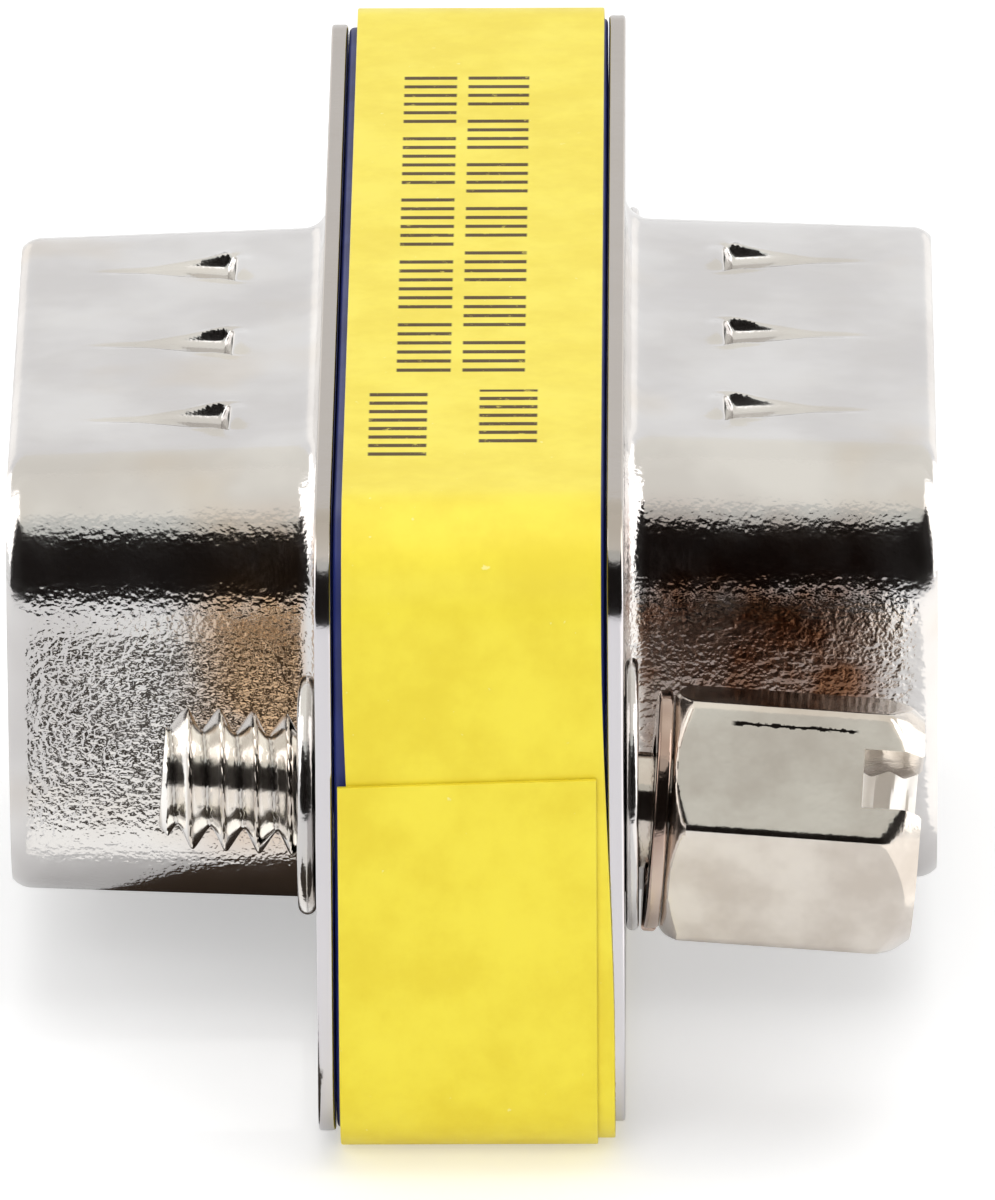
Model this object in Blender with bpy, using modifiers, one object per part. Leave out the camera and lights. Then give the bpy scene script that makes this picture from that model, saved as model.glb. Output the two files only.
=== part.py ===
"""Slim D-sub adapter: two nine-way plugs back to back, with jack screws through both flanges.

Frame: X runs along the mating axis (the jack screws' hex posts are on the +X side), Y along the
flanges' long side and Z up. The origin is on the floor under the middle of the adapter, and it
stands on the flat underside of the tape that is wound round its middle.
"""

import math

import bmesh
import bpy
from mathutils import Matrix, Vector

MM = 0.001

# D-shaped shells, drawn from sheet
SHEET_THICKNESS = 0.33 * MM
SHELL_INSIDE_WIDTH = 16.92 * MM
SHELL_INSIDE_HEIGHT = 8.36 * MM
SHELL_SIDE_ANGLE = math.radians(10.0)
SHELL_CORNER_RADIUS = 2.17 * MM
SHELL_DEPTH = 6.00 * MM
WALL_DRAFT = math.radians(2.0)
BEND_RADIUS = 0.50 * MM
MOUTH_RADIUS = 0.50 * MM
MOUTH_TURN = math.radians(50.0)

# Flanges: the land above the shell and the way out to the screws and past them
FLANGE_LAND = 1.765 * MM
SHELL_TO_SCREW = 3.705 * MM
SCREW_TO_END = 2.91 * MM
FLANGE_CORNER_RADIUS = 2.00 * MM
BODY_WIDTH = 5.84 * MM
HALF_DROP = 0.18 * MM

# Grounding dimples pressed into the long sides of each shell
DIMPLE_WIDTH = 1.45 * MM
DIMPLE_LENGTH = 2.70 * MM
DIMPLE_DEPTH = 0.36 * MM
DIMPLE_FROM_FLANGE = 1.85 * MM
DIMPLES_PER_SIDE = 3

# Contacts
PIN_PITCH = 2.77 * MM
ROW_SPACING = 2.84 * MM
PINS_WIDE_ROW = 5
PINS_NARROW_ROW = 4
PIN_DIAMETER = 1.00 * MM
PIN_TAIL_DIAMETER = 0.66 * MM
PIN_REACH = 5.30 * MM

# Insulators and the board between them
INSULATOR_PROUD = 0.03 * MM
NOSE_HEIGHT = 1.20 * MM
NOSE_CHAMFER = 0.15 * MM
BOARD_THICKNESS = 1.00 * MM
BOARD_MARGIN = 3.00 * MM

# Hollow rivets
RIVET_BORE = 3.30 * MM
RIVET_WALL = 0.20 * MM
RIVET_LIP_WIDTH = 0.43 * MM
RIVET_LIP_THICKNESS = 0.35 * MM
RIVET_HEAD_WIDTH = 0.75 * MM
RIVET_HEAD_THICKNESS = 0.25 * MM

# Jack screws, 4-40 UNC
THREAD_DIAMETER = 2.72 * MM
THREAD_PITCH = 0.635 * MM
THREAD_DEPTH = 0.45 * MM
THREAD_TURN = math.radians(-125.0)
STUD_REACH = 2.95 * MM
TIP_CHAMFER = 0.40 * MM
SHANK_DIAMETER = 2.20 * MM
HEX_ACROSS_FLATS = 4.60 * MM
HEX_LENGTH = 4.76 * MM
HEX_CHAMFER = 0.33 * MM
HEX_END_CHAMFER = 0.70 * MM
HEX_TURN = math.radians(16.0)
SLOT_WIDTH = 1.20 * MM
SLOT_DEPTH = 1.15 * MM
BORE_DIAMETER = 2.30 * MM
BORE_FLOOR = 0.66 * MM
BORE_COUNTERSINK = 0.30 * MM
SCREW_LEAN = math.radians(4.5)
SCREW_SAG = 0.06 * MM

# Split lock washers
WASHER_WIDTH = 0.90 * MM
WASHER_THICKNESS = 0.28 * MM
WASHER_RISE = 0.04 * MM
WASHER_SPLIT = 0.30 * MM
WASHER_TURN = math.radians(-30.0)
WASHER_BORE_PLAY = 0.30 * MM

# Tape wound round the middle
TAPE_THICKNESS = 0.10 * MM
TAPE_WIDTH = 4.90 * MM
TAPE_LOW_SHIFT = 0.28 * MM
TAPE_TOP_SHIFT = 0.05 * MM
TAPE_OUTER_SHIFT = -0.05 * MM
TAPE_END_HEIGHT = 0.665
TAPE_START_HEIGHT = 0.22

# Clearances
SEAT_GAP = 0.02 * MM
FIT_GAP = 0.05 * MM

# Facets
CORNER_STEPS = 6
ROUND_STEPS = 24
PIN_STEPS = 12
ROWS_PER_PITCH = 6

# Derived sizes
FLANGE_FACE = BODY_WIDTH / 2
PLATE_BACK = FLANGE_FACE - SHEET_THICKNESS
SHELL_HALF_HEIGHT = SHELL_INSIDE_HEIGHT / 2 + SHEET_THICKNESS
SHELL_HALF_WIDTH = SHELL_INSIDE_WIDTH / 2 + SHEET_THICKNESS
SCREW_OFFSET = SHELL_HALF_WIDTH + SHELL_TO_SCREW
FLANGE_HALF_LENGTH = SCREW_OFFSET + SCREW_TO_END
FLANGE_HALF_WIDTH = SHELL_HALF_HEIGHT + FLANGE_LAND
CORE_HALF_WIDTH = FLANGE_HALF_WIDTH + INSULATOR_PROUD
CORE_HALF_LENGTH = FLANGE_HALF_LENGTH + INSULATOR_PROUD
TAPE_LAYER = TAPE_THICKNESS + SEAT_GAP
LOW_CENTRE = 2 * TAPE_LAYER + CORE_HALF_WIDTH
HIGH_CENTRE = LOW_CENTRE + HALF_DROP
MID_CENTRE = (LOW_CENTRE + HIGH_CENTRE) / 2
RIVET_RADIUS = RIVET_BORE / 2 + RIVET_WALL
RIVET_HOLE_RADIUS = RIVET_RADIUS + HALF_DROP / 2 + FIT_GAP
SCREW_TIP = -(FLANGE_FACE + STUD_REACH) / math.cos(SCREW_LEAN)
BOARD_HALF_LENGTH = PIN_PITCH * (PINS_WIDE_ROW - 1) / 2 + BOARD_MARGIN
BOARD_HALF_WIDTH = ROW_SPACING / 2 + BOARD_MARGIN
PIN_HOLE_RADIUS = PIN_DIAMETER / 2 + FIT_GAP / 2

ADAPTER = "d_sub_adapter"


def clear_scene():
    """Remove every object that the file opens with."""
    for thing in list(bpy.data.objects):
        bpy.data.objects.remove(thing, do_unlink=True)


def make_collection(name):
    """Make a collection under the scene's own."""
    collection = bpy.data.collections.new(name)
    bpy.context.scene.collection.children.link(collection)
    return collection


def make_material(name, colour, roughness, metallic):
    """Make a Principled material from its colour, roughness and metallic value."""
    material = bpy.data.materials.new(name)
    material.use_nodes = True
    shader = material.node_tree.nodes["Principled BSDF"]
    shader.inputs["Base Color"].default_value = (*colour, 1.0)
    shader.inputs["Roughness"].default_value = roughness
    shader.inputs["Metallic"].default_value = metallic
    return material


def plated_steel():
    """Bright nickel-plated steel of the shells, rivets and washers."""
    return make_material("plated_steel", (0.72, 0.69, 0.65), 0.25, 1.0)


def screw_steel():
    """Nickel plate of the jack screws, a little warmer."""
    return make_material("screw_steel", (0.70, 0.65, 0.59), 0.22, 1.0)


def gold_plate():
    """Gold flash of the contacts."""
    return make_material("gold_plate", (0.86, 0.62, 0.25), 0.25, 1.0)


def blue_plastic():
    """Moulded blue plastic of the insulators."""
    return make_material("blue_plastic", (0.02, 0.04, 0.26), 0.45, 0.0)


def green_board():
    """Solder mask of the circuit board."""
    return make_material("green_board", (0.03, 0.20, 0.07), 0.5, 0.0)


def yellow_tape():
    """Yellow vinyl tape."""
    return make_material("yellow_tape", (0.90, 0.72, 0.05), 0.45, 0.0)


def add_object(name, mesh, material, collection, matrix=None):
    """Link a mesh as a named object with its material and shading."""
    thing = bpy.data.objects.new(name, mesh)
    collection.objects.link(thing)
    if matrix is not None:
        thing.matrix_world = matrix
    if material is not None and not mesh.materials:
        mesh.materials.append(material)
    return thing


def smooth(mesh, angle=35.0):
    """Shade a mesh smooth between its sharp edges."""
    mesh.shade_smooth()
    mesh.set_sharp_from_angle(angle=math.radians(angle))


def mesh_from(form, name):
    """Turn a bmesh into a mesh with its faces pointing out."""
    bmesh.ops.recalc_face_normals(form, faces=form.faces)
    mesh = bpy.data.meshes.new(name)
    form.to_mesh(mesh)
    form.free()
    smooth(mesh)
    return mesh


def arc(centre, radius, start, end, steps):
    """Points on an arc, both ends included."""
    points = []
    for step in range(steps + 1):
        angle = start + (end - start) * step / steps
        points.append((centre[0] + radius * math.cos(angle), centre[1] + radius * math.sin(angle)))
    return points


def wall_offset(x):
    """How far the drafted wall stands out from the mouth's outline at a place along X."""
    return (FLANGE_FACE + SHELL_DEPTH - x) * math.tan(WALL_DRAFT)


def rounded_outline(corners, radius):
    """Round a convex outline whose corners are (point, first normal, second normal), as (y, z)."""
    points = []
    for centre, first, second in corners:
        points.extend(arc(centre, radius, first, second, CORNER_STEPS))
    return points


def d_outline(offset):
    """The D outline of a shell's outer surface at its mouth, moved out; its wide side is up."""
    radius = SHELL_CORNER_RADIUS + SHEET_THICKNESS
    lean = SHELL_SIDE_ANGLE
    top = SHELL_HALF_HEIGHT - radius
    wide = SHELL_HALF_WIDTH - radius / math.tan(math.radians(45) - lean / 2)
    slope = (2 * SHELL_HALF_HEIGHT) * math.tan(lean)
    narrow = SHELL_HALF_WIDTH - slope - radius / math.tan(math.radians(45) + lean / 2)
    half, quarter = math.pi, math.pi / 2
    corners = (
        ((wide, top), -lean, quarter),
        ((-wide, top), quarter, half + lean),
        ((-narrow, -top), half + lean, half + quarter),
        ((narrow, -top), half + quarter, 2 * half - lean),
    )
    return rounded_outline(corners, radius + offset)


def box_outline(half_length, half_width, radius):
    """A rectangle with round corners, its points matched to those of the D outline."""
    y, z = half_length - radius, half_width - radius
    half, quarter = math.pi, math.pi / 2
    corners = (
        ((y, z), 0.0, quarter),
        ((-y, z), quarter, half),
        ((-y, -z), half, half + quarter),
        ((y, -z), half + quarter, 2 * half),
    )
    return rounded_outline(corners, radius)


def loft(rings, closed):
    """Join rings of equal count, each (x, outline), into a skin; capped unless it closes."""
    form = bmesh.new()
    rows = [[form.verts.new((x, y, z)) for y, z in outline] for x, outline in rings]
    pairs = list(zip(rows, rows[1:]))
    if closed:
        pairs.append((rows[-1], rows[0]))
    count = len(rows[0])
    for lower, upper in pairs:
        for i in range(count):
            j = (i + 1) % count
            form.faces.new((lower[i], lower[j], upper[j], upper[i]))
    if not closed:
        form.faces.new(rows[0])
        form.faces.new(rows[-1])
    return form


def turned_mesh(name, profile, steps, closed):
    """Turn a profile of (radius, height) points about Z with a Screw modifier."""
    flat = bpy.data.meshes.new(name)
    count = len(profile)
    edges = [(i, i + 1) for i in range(count - 1)]
    if closed:
        edges.append((count - 1, 0))
    flat.from_pydata([(radius, 0.0, height) for radius, height in profile], edges, [])
    blank = bpy.data.objects.new(name, flat)
    bpy.context.scene.collection.objects.link(blank)
    screw = blank.modifiers.new("Turn", "SCREW")
    screw.steps = steps
    screw.render_steps = steps
    screw.use_merge_vertices = True
    screw.merge_threshold = 1e-7
    screw.use_normal_calculate = True
    mesh = evaluated_mesh(blank)
    bpy.data.objects.remove(blank, do_unlink=True)
    return mesh


def evaluated_mesh(thing):
    """The mesh of an object with its modifiers applied."""
    bpy.context.view_layer.update()
    graph = bpy.context.evaluated_depsgraph_get()
    return bpy.data.meshes.new_from_object(thing.evaluated_get(graph))


def outward(mesh):
    """Point a closed mesh's faces out."""
    form = bmesh.new()
    form.from_mesh(mesh)
    bmesh.ops.recalc_face_normals(form, faces=form.faces)
    form.to_mesh(mesh)
    form.free()
    return mesh


def add_cutter(name, form, cutters, matrix=None):
    """Keep a bmesh as a wire-drawn, unrendered cutter."""
    cutter = add_object(name, mesh_from(form, name), None, cutters, matrix)
    cutter.hide_render = True
    cutter.display_type = "WIRE"
    return cutter


def add_boolean(thing, tool, operation):
    """Add a Boolean modifier with the exact solver."""
    modifier = thing.modifiers.new(tool.name, "BOOLEAN")
    modifier.operation = operation
    modifier.solver = "EXACT"
    modifier.object = tool


def add_rod(form, radius, start, end, y, z, steps):
    """Add a rod along X between two x positions to a bmesh."""
    place = Matrix.Translation(((start + end) / 2, y, z)) @ Matrix.Rotation(math.pi / 2, 4, "Y")
    bmesh.ops.create_cone(
        form, cap_ends=True, segments=steps, radius1=radius, radius2=radius,
        depth=abs(end - start), matrix=place,
    )


def side_matrix(side, centre):
    """Place a half: side is +1 for right and -1 for left, turned about Z for the left."""
    turn = 0.0 if side > 0 else math.pi
    return Matrix.Translation((0.0, 0.0, centre)) @ Matrix.Rotation(turn, 4, "Z")


def shell_rings():
    """Rings of a drawn shell: out along the flange, round its edge, and up through the bend."""
    bend = BEND_RADIUS
    root = wall_offset(FLANGE_FACE + bend)
    turn_in = FLANGE_FACE + SHELL_DEPTH - MOUTH_RADIUS * math.sin(MOUTH_TURN)
    edge = box_outline(FLANGE_HALF_LENGTH, FLANGE_HALF_WIDTH, FLANGE_CORNER_RADIUS)
    rings = [(PLATE_BACK, edge), (FLANGE_FACE, edge)]
    half, quarter = math.pi, math.pi / 2
    steps = 4
    for offset, x in arc((root + bend, FLANGE_FACE + bend), bend, -quarter, -half, steps):
        rings.append((x, d_outline(offset)))
    lip = (wall_offset(turn_in) - MOUTH_RADIUS, turn_in)
    for offset, x in arc(lip, MOUTH_RADIUS, 0.0, MOUTH_TURN, 3):
        rings.append((x, d_outline(offset)))
    for offset, x in arc(lip, MOUTH_RADIUS - SHEET_THICKNESS, MOUTH_TURN, 0.0, 2):
        rings.append((x, d_outline(offset)))
    inner = bend + SHEET_THICKNESS
    for offset, x in arc((root + bend, FLANGE_FACE + bend), inner, -half, -quarter, steps):
        rings.append((x, d_outline(offset)))
    return rings


def dimple_form(width, depth, length, start, surface, skin):
    """A half teardrop sunk in a flat side: deep near the flange, run out towards the mouth."""
    form = bmesh.new()
    turn = Matrix.Rotation(math.pi / 2, 4, "Y")
    bmesh.ops.create_cone(
        form, cap_ends=True, segments=16, radius1=width / 2, radius2=width / 16,
        depth=length, matrix=turn,
    )
    bmesh.ops.scale(form, vec=(1.0, 1.0, 2 * depth / width), verts=form.verts)
    geometry = form.verts[:] + form.edges[:] + form.faces[:]
    bmesh.ops.bisect_plane(form, geom=geometry, plane_co=(0, 0, skin), plane_no=(0, 0, 1),
                           clear_outer=True)
    rim = [edge for edge in form.edges if edge.is_boundary]
    bmesh.ops.contextual_create(form, geom=rim)
    shift = Vector((FLANGE_FACE + start + length / 2, 0.0, surface))
    bmesh.ops.translate(form, vec=shift, verts=form.verts)
    return form


def add_dimples(shell, name, cutters, matrix):
    """Press the dimples: a bump inside the wall and a hollow outside it, on both long sides."""
    skin = SHEET_THICKNESS / 2
    bump_extra = SHEET_THICKNESS / 2
    middle = (DIMPLES_PER_SIDE - 1) / 2
    surface = SHELL_HALF_HEIGHT + wall_offset(FLANGE_FACE + DIMPLE_FROM_FLANGE)
    for flip, side in ((1, "top"), (-1, "foot")):
        for i in range(DIMPLES_PER_SIDE):
            y = (i - middle) * 1.5 * PIN_PITCH
            place = matrix @ Matrix.Translation((0, y, 0)) @ Matrix.Rotation(
                0.0 if flip > 0 else math.pi, 4, "X")
            bump = dimple_form(
                DIMPLE_WIDTH + bump_extra, DIMPLE_DEPTH + SHEET_THICKNESS * 0.75, DIMPLE_LENGTH,
                DIMPLE_FROM_FLANGE - bump_extra / 2, surface, -skin)
            hollow = dimple_form(
                DIMPLE_WIDTH, DIMPLE_DEPTH, DIMPLE_LENGTH, DIMPLE_FROM_FLANGE, surface, skin)
            label = f"{name}_{side}_{i}"
            add_boolean(shell, add_cutter(f"bump_{label}", bump, cutters, place), "UNION")
            add_boolean(shell, add_cutter(f"dimple_{label}", hollow, cutters, place), "DIFFERENCE")


def add_screw_holes(thing, name, cutters, centre):
    """Cut the two holes that the rivets pass through."""
    form = bmesh.new()
    for y in (-SCREW_OFFSET, SCREW_OFFSET):
        add_rod(form, RIVET_HOLE_RADIUS, -BODY_WIDTH, BODY_WIDTH, y, centre, ROUND_STEPS)
    add_boolean(thing, add_cutter(f"{name}_screw_holes", form, cutters), "DIFFERENCE")


def make_shell(name, side, centre, material, parts, cutters):
    """A drawn plug shell with its flange, screw holes and dimples."""
    matrix = side_matrix(side, centre)
    mesh = mesh_from(loft(shell_rings(), closed=True), name)
    shell = add_object(name, mesh, material, parts, matrix)
    add_screw_holes(shell, name, cutters, centre)
    add_dimples(shell, name, cutters, matrix)
    return shell


def pin_places():
    """The (number, y, z) of each contact in a right-hand plug: wide row first."""
    places = []
    for row, count in ((1, PINS_WIDE_ROW), (-1, PINS_NARROW_ROW)):
        for i in range(count):
            y = (i - (count - 1) / 2) * PIN_PITCH
            places.append((len(places) + 1, y, row * ROW_SPACING / 2))
    return places


def insulator_rings():
    """Rings of an insulator: board pocket, back, block, front and the nose inside the shell."""
    play = FIT_GAP + HALF_DROP / 2
    back = SEAT_GAP
    pocket_floor = BOARD_THICKNESS / 2 + SEAT_GAP
    front = PLATE_BACK - SEAT_GAP
    top = FLANGE_FACE + NOSE_HEIGHT
    pocket = box_outline(BOARD_HALF_LENGTH + play, BOARD_HALF_WIDTH + play, play)
    block = box_outline(CORE_HALF_LENGTH, CORE_HALF_WIDTH, FLANGE_CORNER_RADIUS + INSULATOR_PROUD)
    nose = -SHEET_THICKNESS - FIT_GAP
    return [
        (pocket_floor, pocket), (back, pocket), (back, block), (front, block),
        (front, d_outline(nose)), (top - NOSE_CHAMFER, d_outline(nose)),
        (top, d_outline(nose - NOSE_CHAMFER)),
    ]


def make_insulator(name, side, centre, material, parts, cutters):
    """A moulded insulator with holes for its contacts and the rivets."""
    matrix = side_matrix(side, centre)
    mesh = mesh_from(loft(insulator_rings(), closed=False), name)
    insulator = add_object(name, mesh, material, parts, matrix)
    form = bmesh.new()
    for _, y, z in pin_places():
        add_rod(form, PIN_HOLE_RADIUS, 0.0, 2 * (FLANGE_FACE + NOSE_HEIGHT), y, z, PIN_STEPS)
    add_boolean(insulator, add_cutter(f"{name}_pin_holes", form, cutters, matrix), "DIFFERENCE")
    add_screw_holes(insulator, name, cutters, centre)
    return insulator


def pin_profile():
    """A contact from its round nose down to its tail on the board."""
    radius = PIN_DIAMETER / 2
    tail = PIN_TAIL_DIAMETER / 2
    tip = FLANGE_FACE + PIN_REACH
    root = BOARD_THICKNESS / 2 + 2 * SEAT_GAP
    shoulder = root + (FLANGE_FACE - root) / 3
    nose = [(x, z) for z, x in arc((tip - radius, 0.0), radius, 0.0, math.pi / 2, 4)]
    return [*nose, (radius, shoulder), (tail, shoulder), (tail, root), (0.0, root)]


def make_pins(name, side, centre, material, parts):
    """The nine contacts of one half, all sharing one turned mesh."""
    mesh = outward(turned_mesh(f"{name}_contact", pin_profile(), PIN_STEPS, closed=False))
    smooth(mesh)
    matrix = side_matrix(side, centre)
    upright = Matrix.Rotation(math.pi / 2, 4, "Y")
    for number, y, z in pin_places():
        place = matrix @ Matrix.Translation((0, y, z)) @ upright
        add_object(f"{name}_pin_{number}", mesh, material, parts, place)


def make_board(material, parts):
    """The small board that crosses the two sets of contacts over."""
    form = bmesh.new()
    bmesh.ops.create_cube(form, size=1.0)
    size = (BOARD_THICKNESS, 2 * BOARD_HALF_LENGTH, 2 * BOARD_HALF_WIDTH)
    bmesh.ops.scale(form, vec=size, verts=form.verts)
    place = Matrix.Translation((0, 0, MID_CENTRE))
    return add_object("circuit_board", mesh_from(form, "circuit_board"), material, parts, place)


def rivet_profile():
    """A hollow rivet from its head on the right to the lip rolled over on the left."""
    bore = RIVET_BORE / 2
    face = FLANGE_FACE + SEAT_GAP
    head = RIVET_RADIUS + RIVET_HEAD_WIDTH
    lip = RIVET_RADIUS + RIVET_LIP_WIDTH
    head_round = RIVET_HEAD_THICKNESS / 2
    lip_round = RIVET_LIP_THICKNESS / 2
    head_top = face + RIVET_HEAD_THICKNESS
    lip_top = -face - RIVET_LIP_THICKNESS
    corner = math.pi / 2
    head_arc = arc((head - head_round, face + head_round), head_round, corner, -corner, 4)
    lip_arc = arc((lip - lip_round, -face - lip_round), lip_round, corner, -corner, 4)
    flare = RIVET_WALL / 2
    return [
        (bore, head_top - flare), (bore + flare, head_top), *head_arc,
        (RIVET_RADIUS, face), (RIVET_RADIUS, -face), *lip_arc,
        (bore + flare, lip_top), (bore, lip_top + flare),
    ]


def make_rivet(name, y, material, parts):
    """A hollow rivet that clamps both flanges and the insulators between them."""
    mesh = outward(turned_mesh(name, rivet_profile(), ROUND_STEPS, closed=True))
    smooth(mesh)
    place = Matrix.Translation((0, y, MID_CENTRE)) @ Matrix.Rotation(math.pi / 2, 4, "Y")
    return add_object(name, mesh, material, parts, place)


def washer_outer_radius():
    """Outer radius of a lock washer on the shank."""
    return SHANK_DIAMETER / 2 + WASHER_BORE_PLAY + WASHER_WIDTH


def washer_start():
    """Where a leaning washer clears the rivet's head, measured along the screw."""
    head_top = FLANGE_FACE + 2 * SEAT_GAP + RIVET_HEAD_THICKNESS
    tilt = washer_outer_radius() * math.sin(SCREW_LEAN)
    return (head_top + tilt) / math.cos(SCREW_LEAN)


def hex_start():
    """Where the hex post begins, measured along the screw."""
    return washer_start() + WASHER_THICKNESS + WASHER_RISE + SEAT_GAP


def make_washer(name, material, parts, cutters, frame):
    """A split lock washer: a ring with a slanted cut, sprung a little apart."""
    start = washer_start()
    inner = SHANK_DIAMETER / 2 + WASHER_BORE_PLAY
    outer = washer_outer_radius()
    top = start + WASHER_THICKNESS
    profile = [(inner, top), (outer, top), (outer, start), (inner, start)]
    mesh = outward(turned_mesh(name, profile, 2 * ROUND_STEPS, closed=True))
    for vertex in mesh.vertices:
        turn = math.atan2(-vertex.co.y, -vertex.co.x) / (2 * math.pi) + 0.5
        vertex.co.z += WASHER_RISE * turn
    turned = Matrix.Rotation(WASHER_TURN, 4, "Z")
    mesh.transform(turned)
    washer = add_object(name, mesh, material, parts)
    washer.parent = frame
    form = bmesh.new()
    bmesh.ops.create_cube(form, size=1.0)
    size = (2 * WASHER_WIDTH, WASHER_SPLIT, 4 * WASHER_THICKNESS)
    bmesh.ops.scale(form, vec=size, verts=form.verts)
    slant = Matrix.Rotation(math.radians(25), 4, "X")
    place = Matrix.Translation(((inner + outer) / 2, 0, start + WASHER_THICKNESS / 2)) @ slant
    cutter = add_cutter(f"{name}_split", form, cutters, turned @ place)
    cutter.parent = frame
    add_boolean(washer, cutter, "DIFFERENCE")
    return washer


def tooth(turns):
    """Depth of the thread's groove, 0 at the crest and 1 at the root, along its pitch."""
    phase = turns % 1.0
    rise = abs(2 * phase - 1)
    return min(1.0, max(0.0, (rise - 0.06) / 0.82))


def screw_profile():
    """Shank, stud and pointed tip of a jack screw, with rows close enough for the thread."""
    crest = THREAD_DIAMETER / 2
    tip = SCREW_TIP
    rows = max(4, round(STUD_REACH / THREAD_PITCH * ROWS_PER_PITCH))
    stud_end = tip + STUD_REACH
    shank = SHANK_DIAMETER / 2
    profile = [(0.0, hex_start() + HEX_LENGTH / 8), (shank, hex_start() + HEX_LENGTH / 8)]
    profile.append((shank, stud_end + THREAD_PITCH / 2))
    for row in range(rows + 1):
        profile.append((crest, stud_end + (tip - stud_end) * row / rows))
    profile.append((0.0, tip))
    return profile


def cut_thread(mesh):
    """Sink a right-hand helical groove into the stud of a turned screw and chamfer its tip."""
    crest = THREAD_DIAMETER / 2
    for vertex in mesh.vertices:
        radius = math.hypot(vertex.co.x, vertex.co.y)
        if radius < crest * 0.98:
            continue
        turn = (math.atan2(vertex.co.y, vertex.co.x) - THREAD_TURN) / (2 * math.pi)
        groove = THREAD_DEPTH * tooth(vertex.co.z / THREAD_PITCH - turn)
        chamfer = max(0.0, TIP_CHAMFER - (vertex.co.z - SCREW_TIP))
        wanted = min(crest - groove, crest - chamfer)
        vertex.co.x *= wanted / radius
        vertex.co.y *= wanted / radius


def hex_form():
    """The hexagonal post as a six-sided prism."""
    form = bmesh.new()
    corner = HEX_ACROSS_FLATS / math.sqrt(3)
    place = Matrix.Translation((0, 0, hex_start() + HEX_LENGTH / 2))
    bmesh.ops.create_cone(
        form, cap_ends=True, segments=6, radius1=corner, radius2=corner, depth=HEX_LENGTH,
        matrix=place @ Matrix.Rotation(HEX_TURN, 4, "Z"),
    )
    return form


def hex_envelope_profile():
    """The turned envelope that rounds off the corners of the post at both its ends."""
    low = hex_start()
    high = low + HEX_LENGTH
    corner = HEX_ACROSS_FLATS / math.sqrt(3)
    beyond = corner * 1.02
    face = HEX_ACROSS_FLATS / 2 * 0.96
    end_face = HEX_ACROSS_FLATS / 2 * 0.92
    drop = HEX_CHAMFER * (beyond - face) / (corner - face)
    end_drop = HEX_END_CHAMFER * (beyond - end_face) / (corner - end_face)
    return [(0.0, high), (end_face, high), (beyond, high - end_drop), (beyond, low + drop),
            (face, low), (0.0, low)]


def bore_profile():
    """The tapped hole in the post, with its countersink, as a cutter."""
    high = hex_start() + HEX_LENGTH
    radius = BORE_DIAMETER / 2
    mouth = radius + BORE_COUNTERSINK
    above = high + BORE_COUNTERSINK
    cone = radius / math.sqrt(3)
    floor = hex_start() + BORE_FLOOR
    return [(0.0, above), (mouth + BORE_COUNTERSINK, above), (radius, high - BORE_COUNTERSINK),
            (radius, floor), (0.0, floor - cone)]


def turned_cutter(name, profile, steps, cutters, frame):
    """A turned cutter on the screw's axis."""
    mesh = outward(turned_mesh(name, profile, steps, closed=False))
    smooth(mesh)
    cutter = add_object(name, mesh, None, cutters)
    cutter.hide_render = True
    cutter.display_type = "WIRE"
    cutter.parent = frame
    return cutter


def slot_form():
    """The screwdriver slot across the end of the post, square to a pair of flats."""
    form = bmesh.new()
    bmesh.ops.create_cube(form, size=1.0)
    length = 2 * HEX_ACROSS_FLATS
    size = (length, SLOT_WIDTH, 2 * SLOT_DEPTH)
    bmesh.ops.scale(form, vec=size, verts=form.verts)
    turn = Matrix.Rotation(HEX_TURN + math.radians(30), 4, "Z")
    lift = Matrix.Translation((0, 0, hex_start() + HEX_LENGTH))
    bmesh.ops.transform(form, matrix=lift @ turn, verts=form.verts)
    return form


def make_jack_screw(name, material, parts, cutters, frame):
    """A jack screw: threaded stud, shank and a slotted hex post with a tapped hole."""
    mesh = turned_mesh(name, screw_profile(), ROUND_STEPS, closed=False)
    cut_thread(mesh)
    outward(mesh)
    smooth(mesh)
    screw = add_object(name, mesh, material, parts)
    screw.parent = frame
    post = add_cutter(f"{name}_post", hex_form(), cutters)
    post.parent = frame
    envelope = turned_cutter(
        f"{name}_envelope", hex_envelope_profile(), 2 * ROUND_STEPS, cutters, frame)
    add_boolean(post, envelope, "INTERSECT")
    add_boolean(screw, post, "UNION")
    bore = turned_cutter(f"{name}_bore", bore_profile(), ROUND_STEPS, cutters, frame)
    add_boolean(screw, bore, "DIFFERENCE")
    slot = add_cutter(f"{name}_slot", slot_form(), cutters)
    slot.parent = frame
    add_boolean(screw, slot, "DIFFERENCE")
    return screw


def make_screw_set(name, y, materials, parts, cutters):
    """One jack screw with its washer, on an empty that lies on the leaning screw's axis."""
    frame = bpy.data.objects.new(f"{name}_axis", None)
    parts.objects.link(frame)
    place = Matrix.Translation((0, y, MID_CENTRE - SCREW_SAG))
    frame.matrix_world = place @ Matrix.Rotation(math.pi / 2 + SCREW_LEAN, 4, "Y")
    make_washer(f"{name}_lock_washer", materials["plate"], parts, cutters, frame)
    make_jack_screw(f"{name}_jack_screw", materials["screw"], parts, cutters, frame)


def tape_loop(level):
    """The corners' arc centres and radius of one turn of tape, counted from the inner turn."""
    radius = FLANGE_CORNER_RADIUS + INSULATOR_PROUD + SEAT_GAP + level * TAPE_LAYER
    y = CORE_HALF_LENGTH - FLANGE_CORNER_RADIUS - INSULATOR_PROUD
    low = LOW_CENTRE - CORE_HALF_WIDTH + FLANGE_CORNER_RADIUS + INSULATOR_PROUD
    high = HIGH_CENTRE + CORE_HALF_WIDTH - FLANGE_CORNER_RADIUS - INSULATOR_PROUD
    return radius, y, low, high


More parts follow.
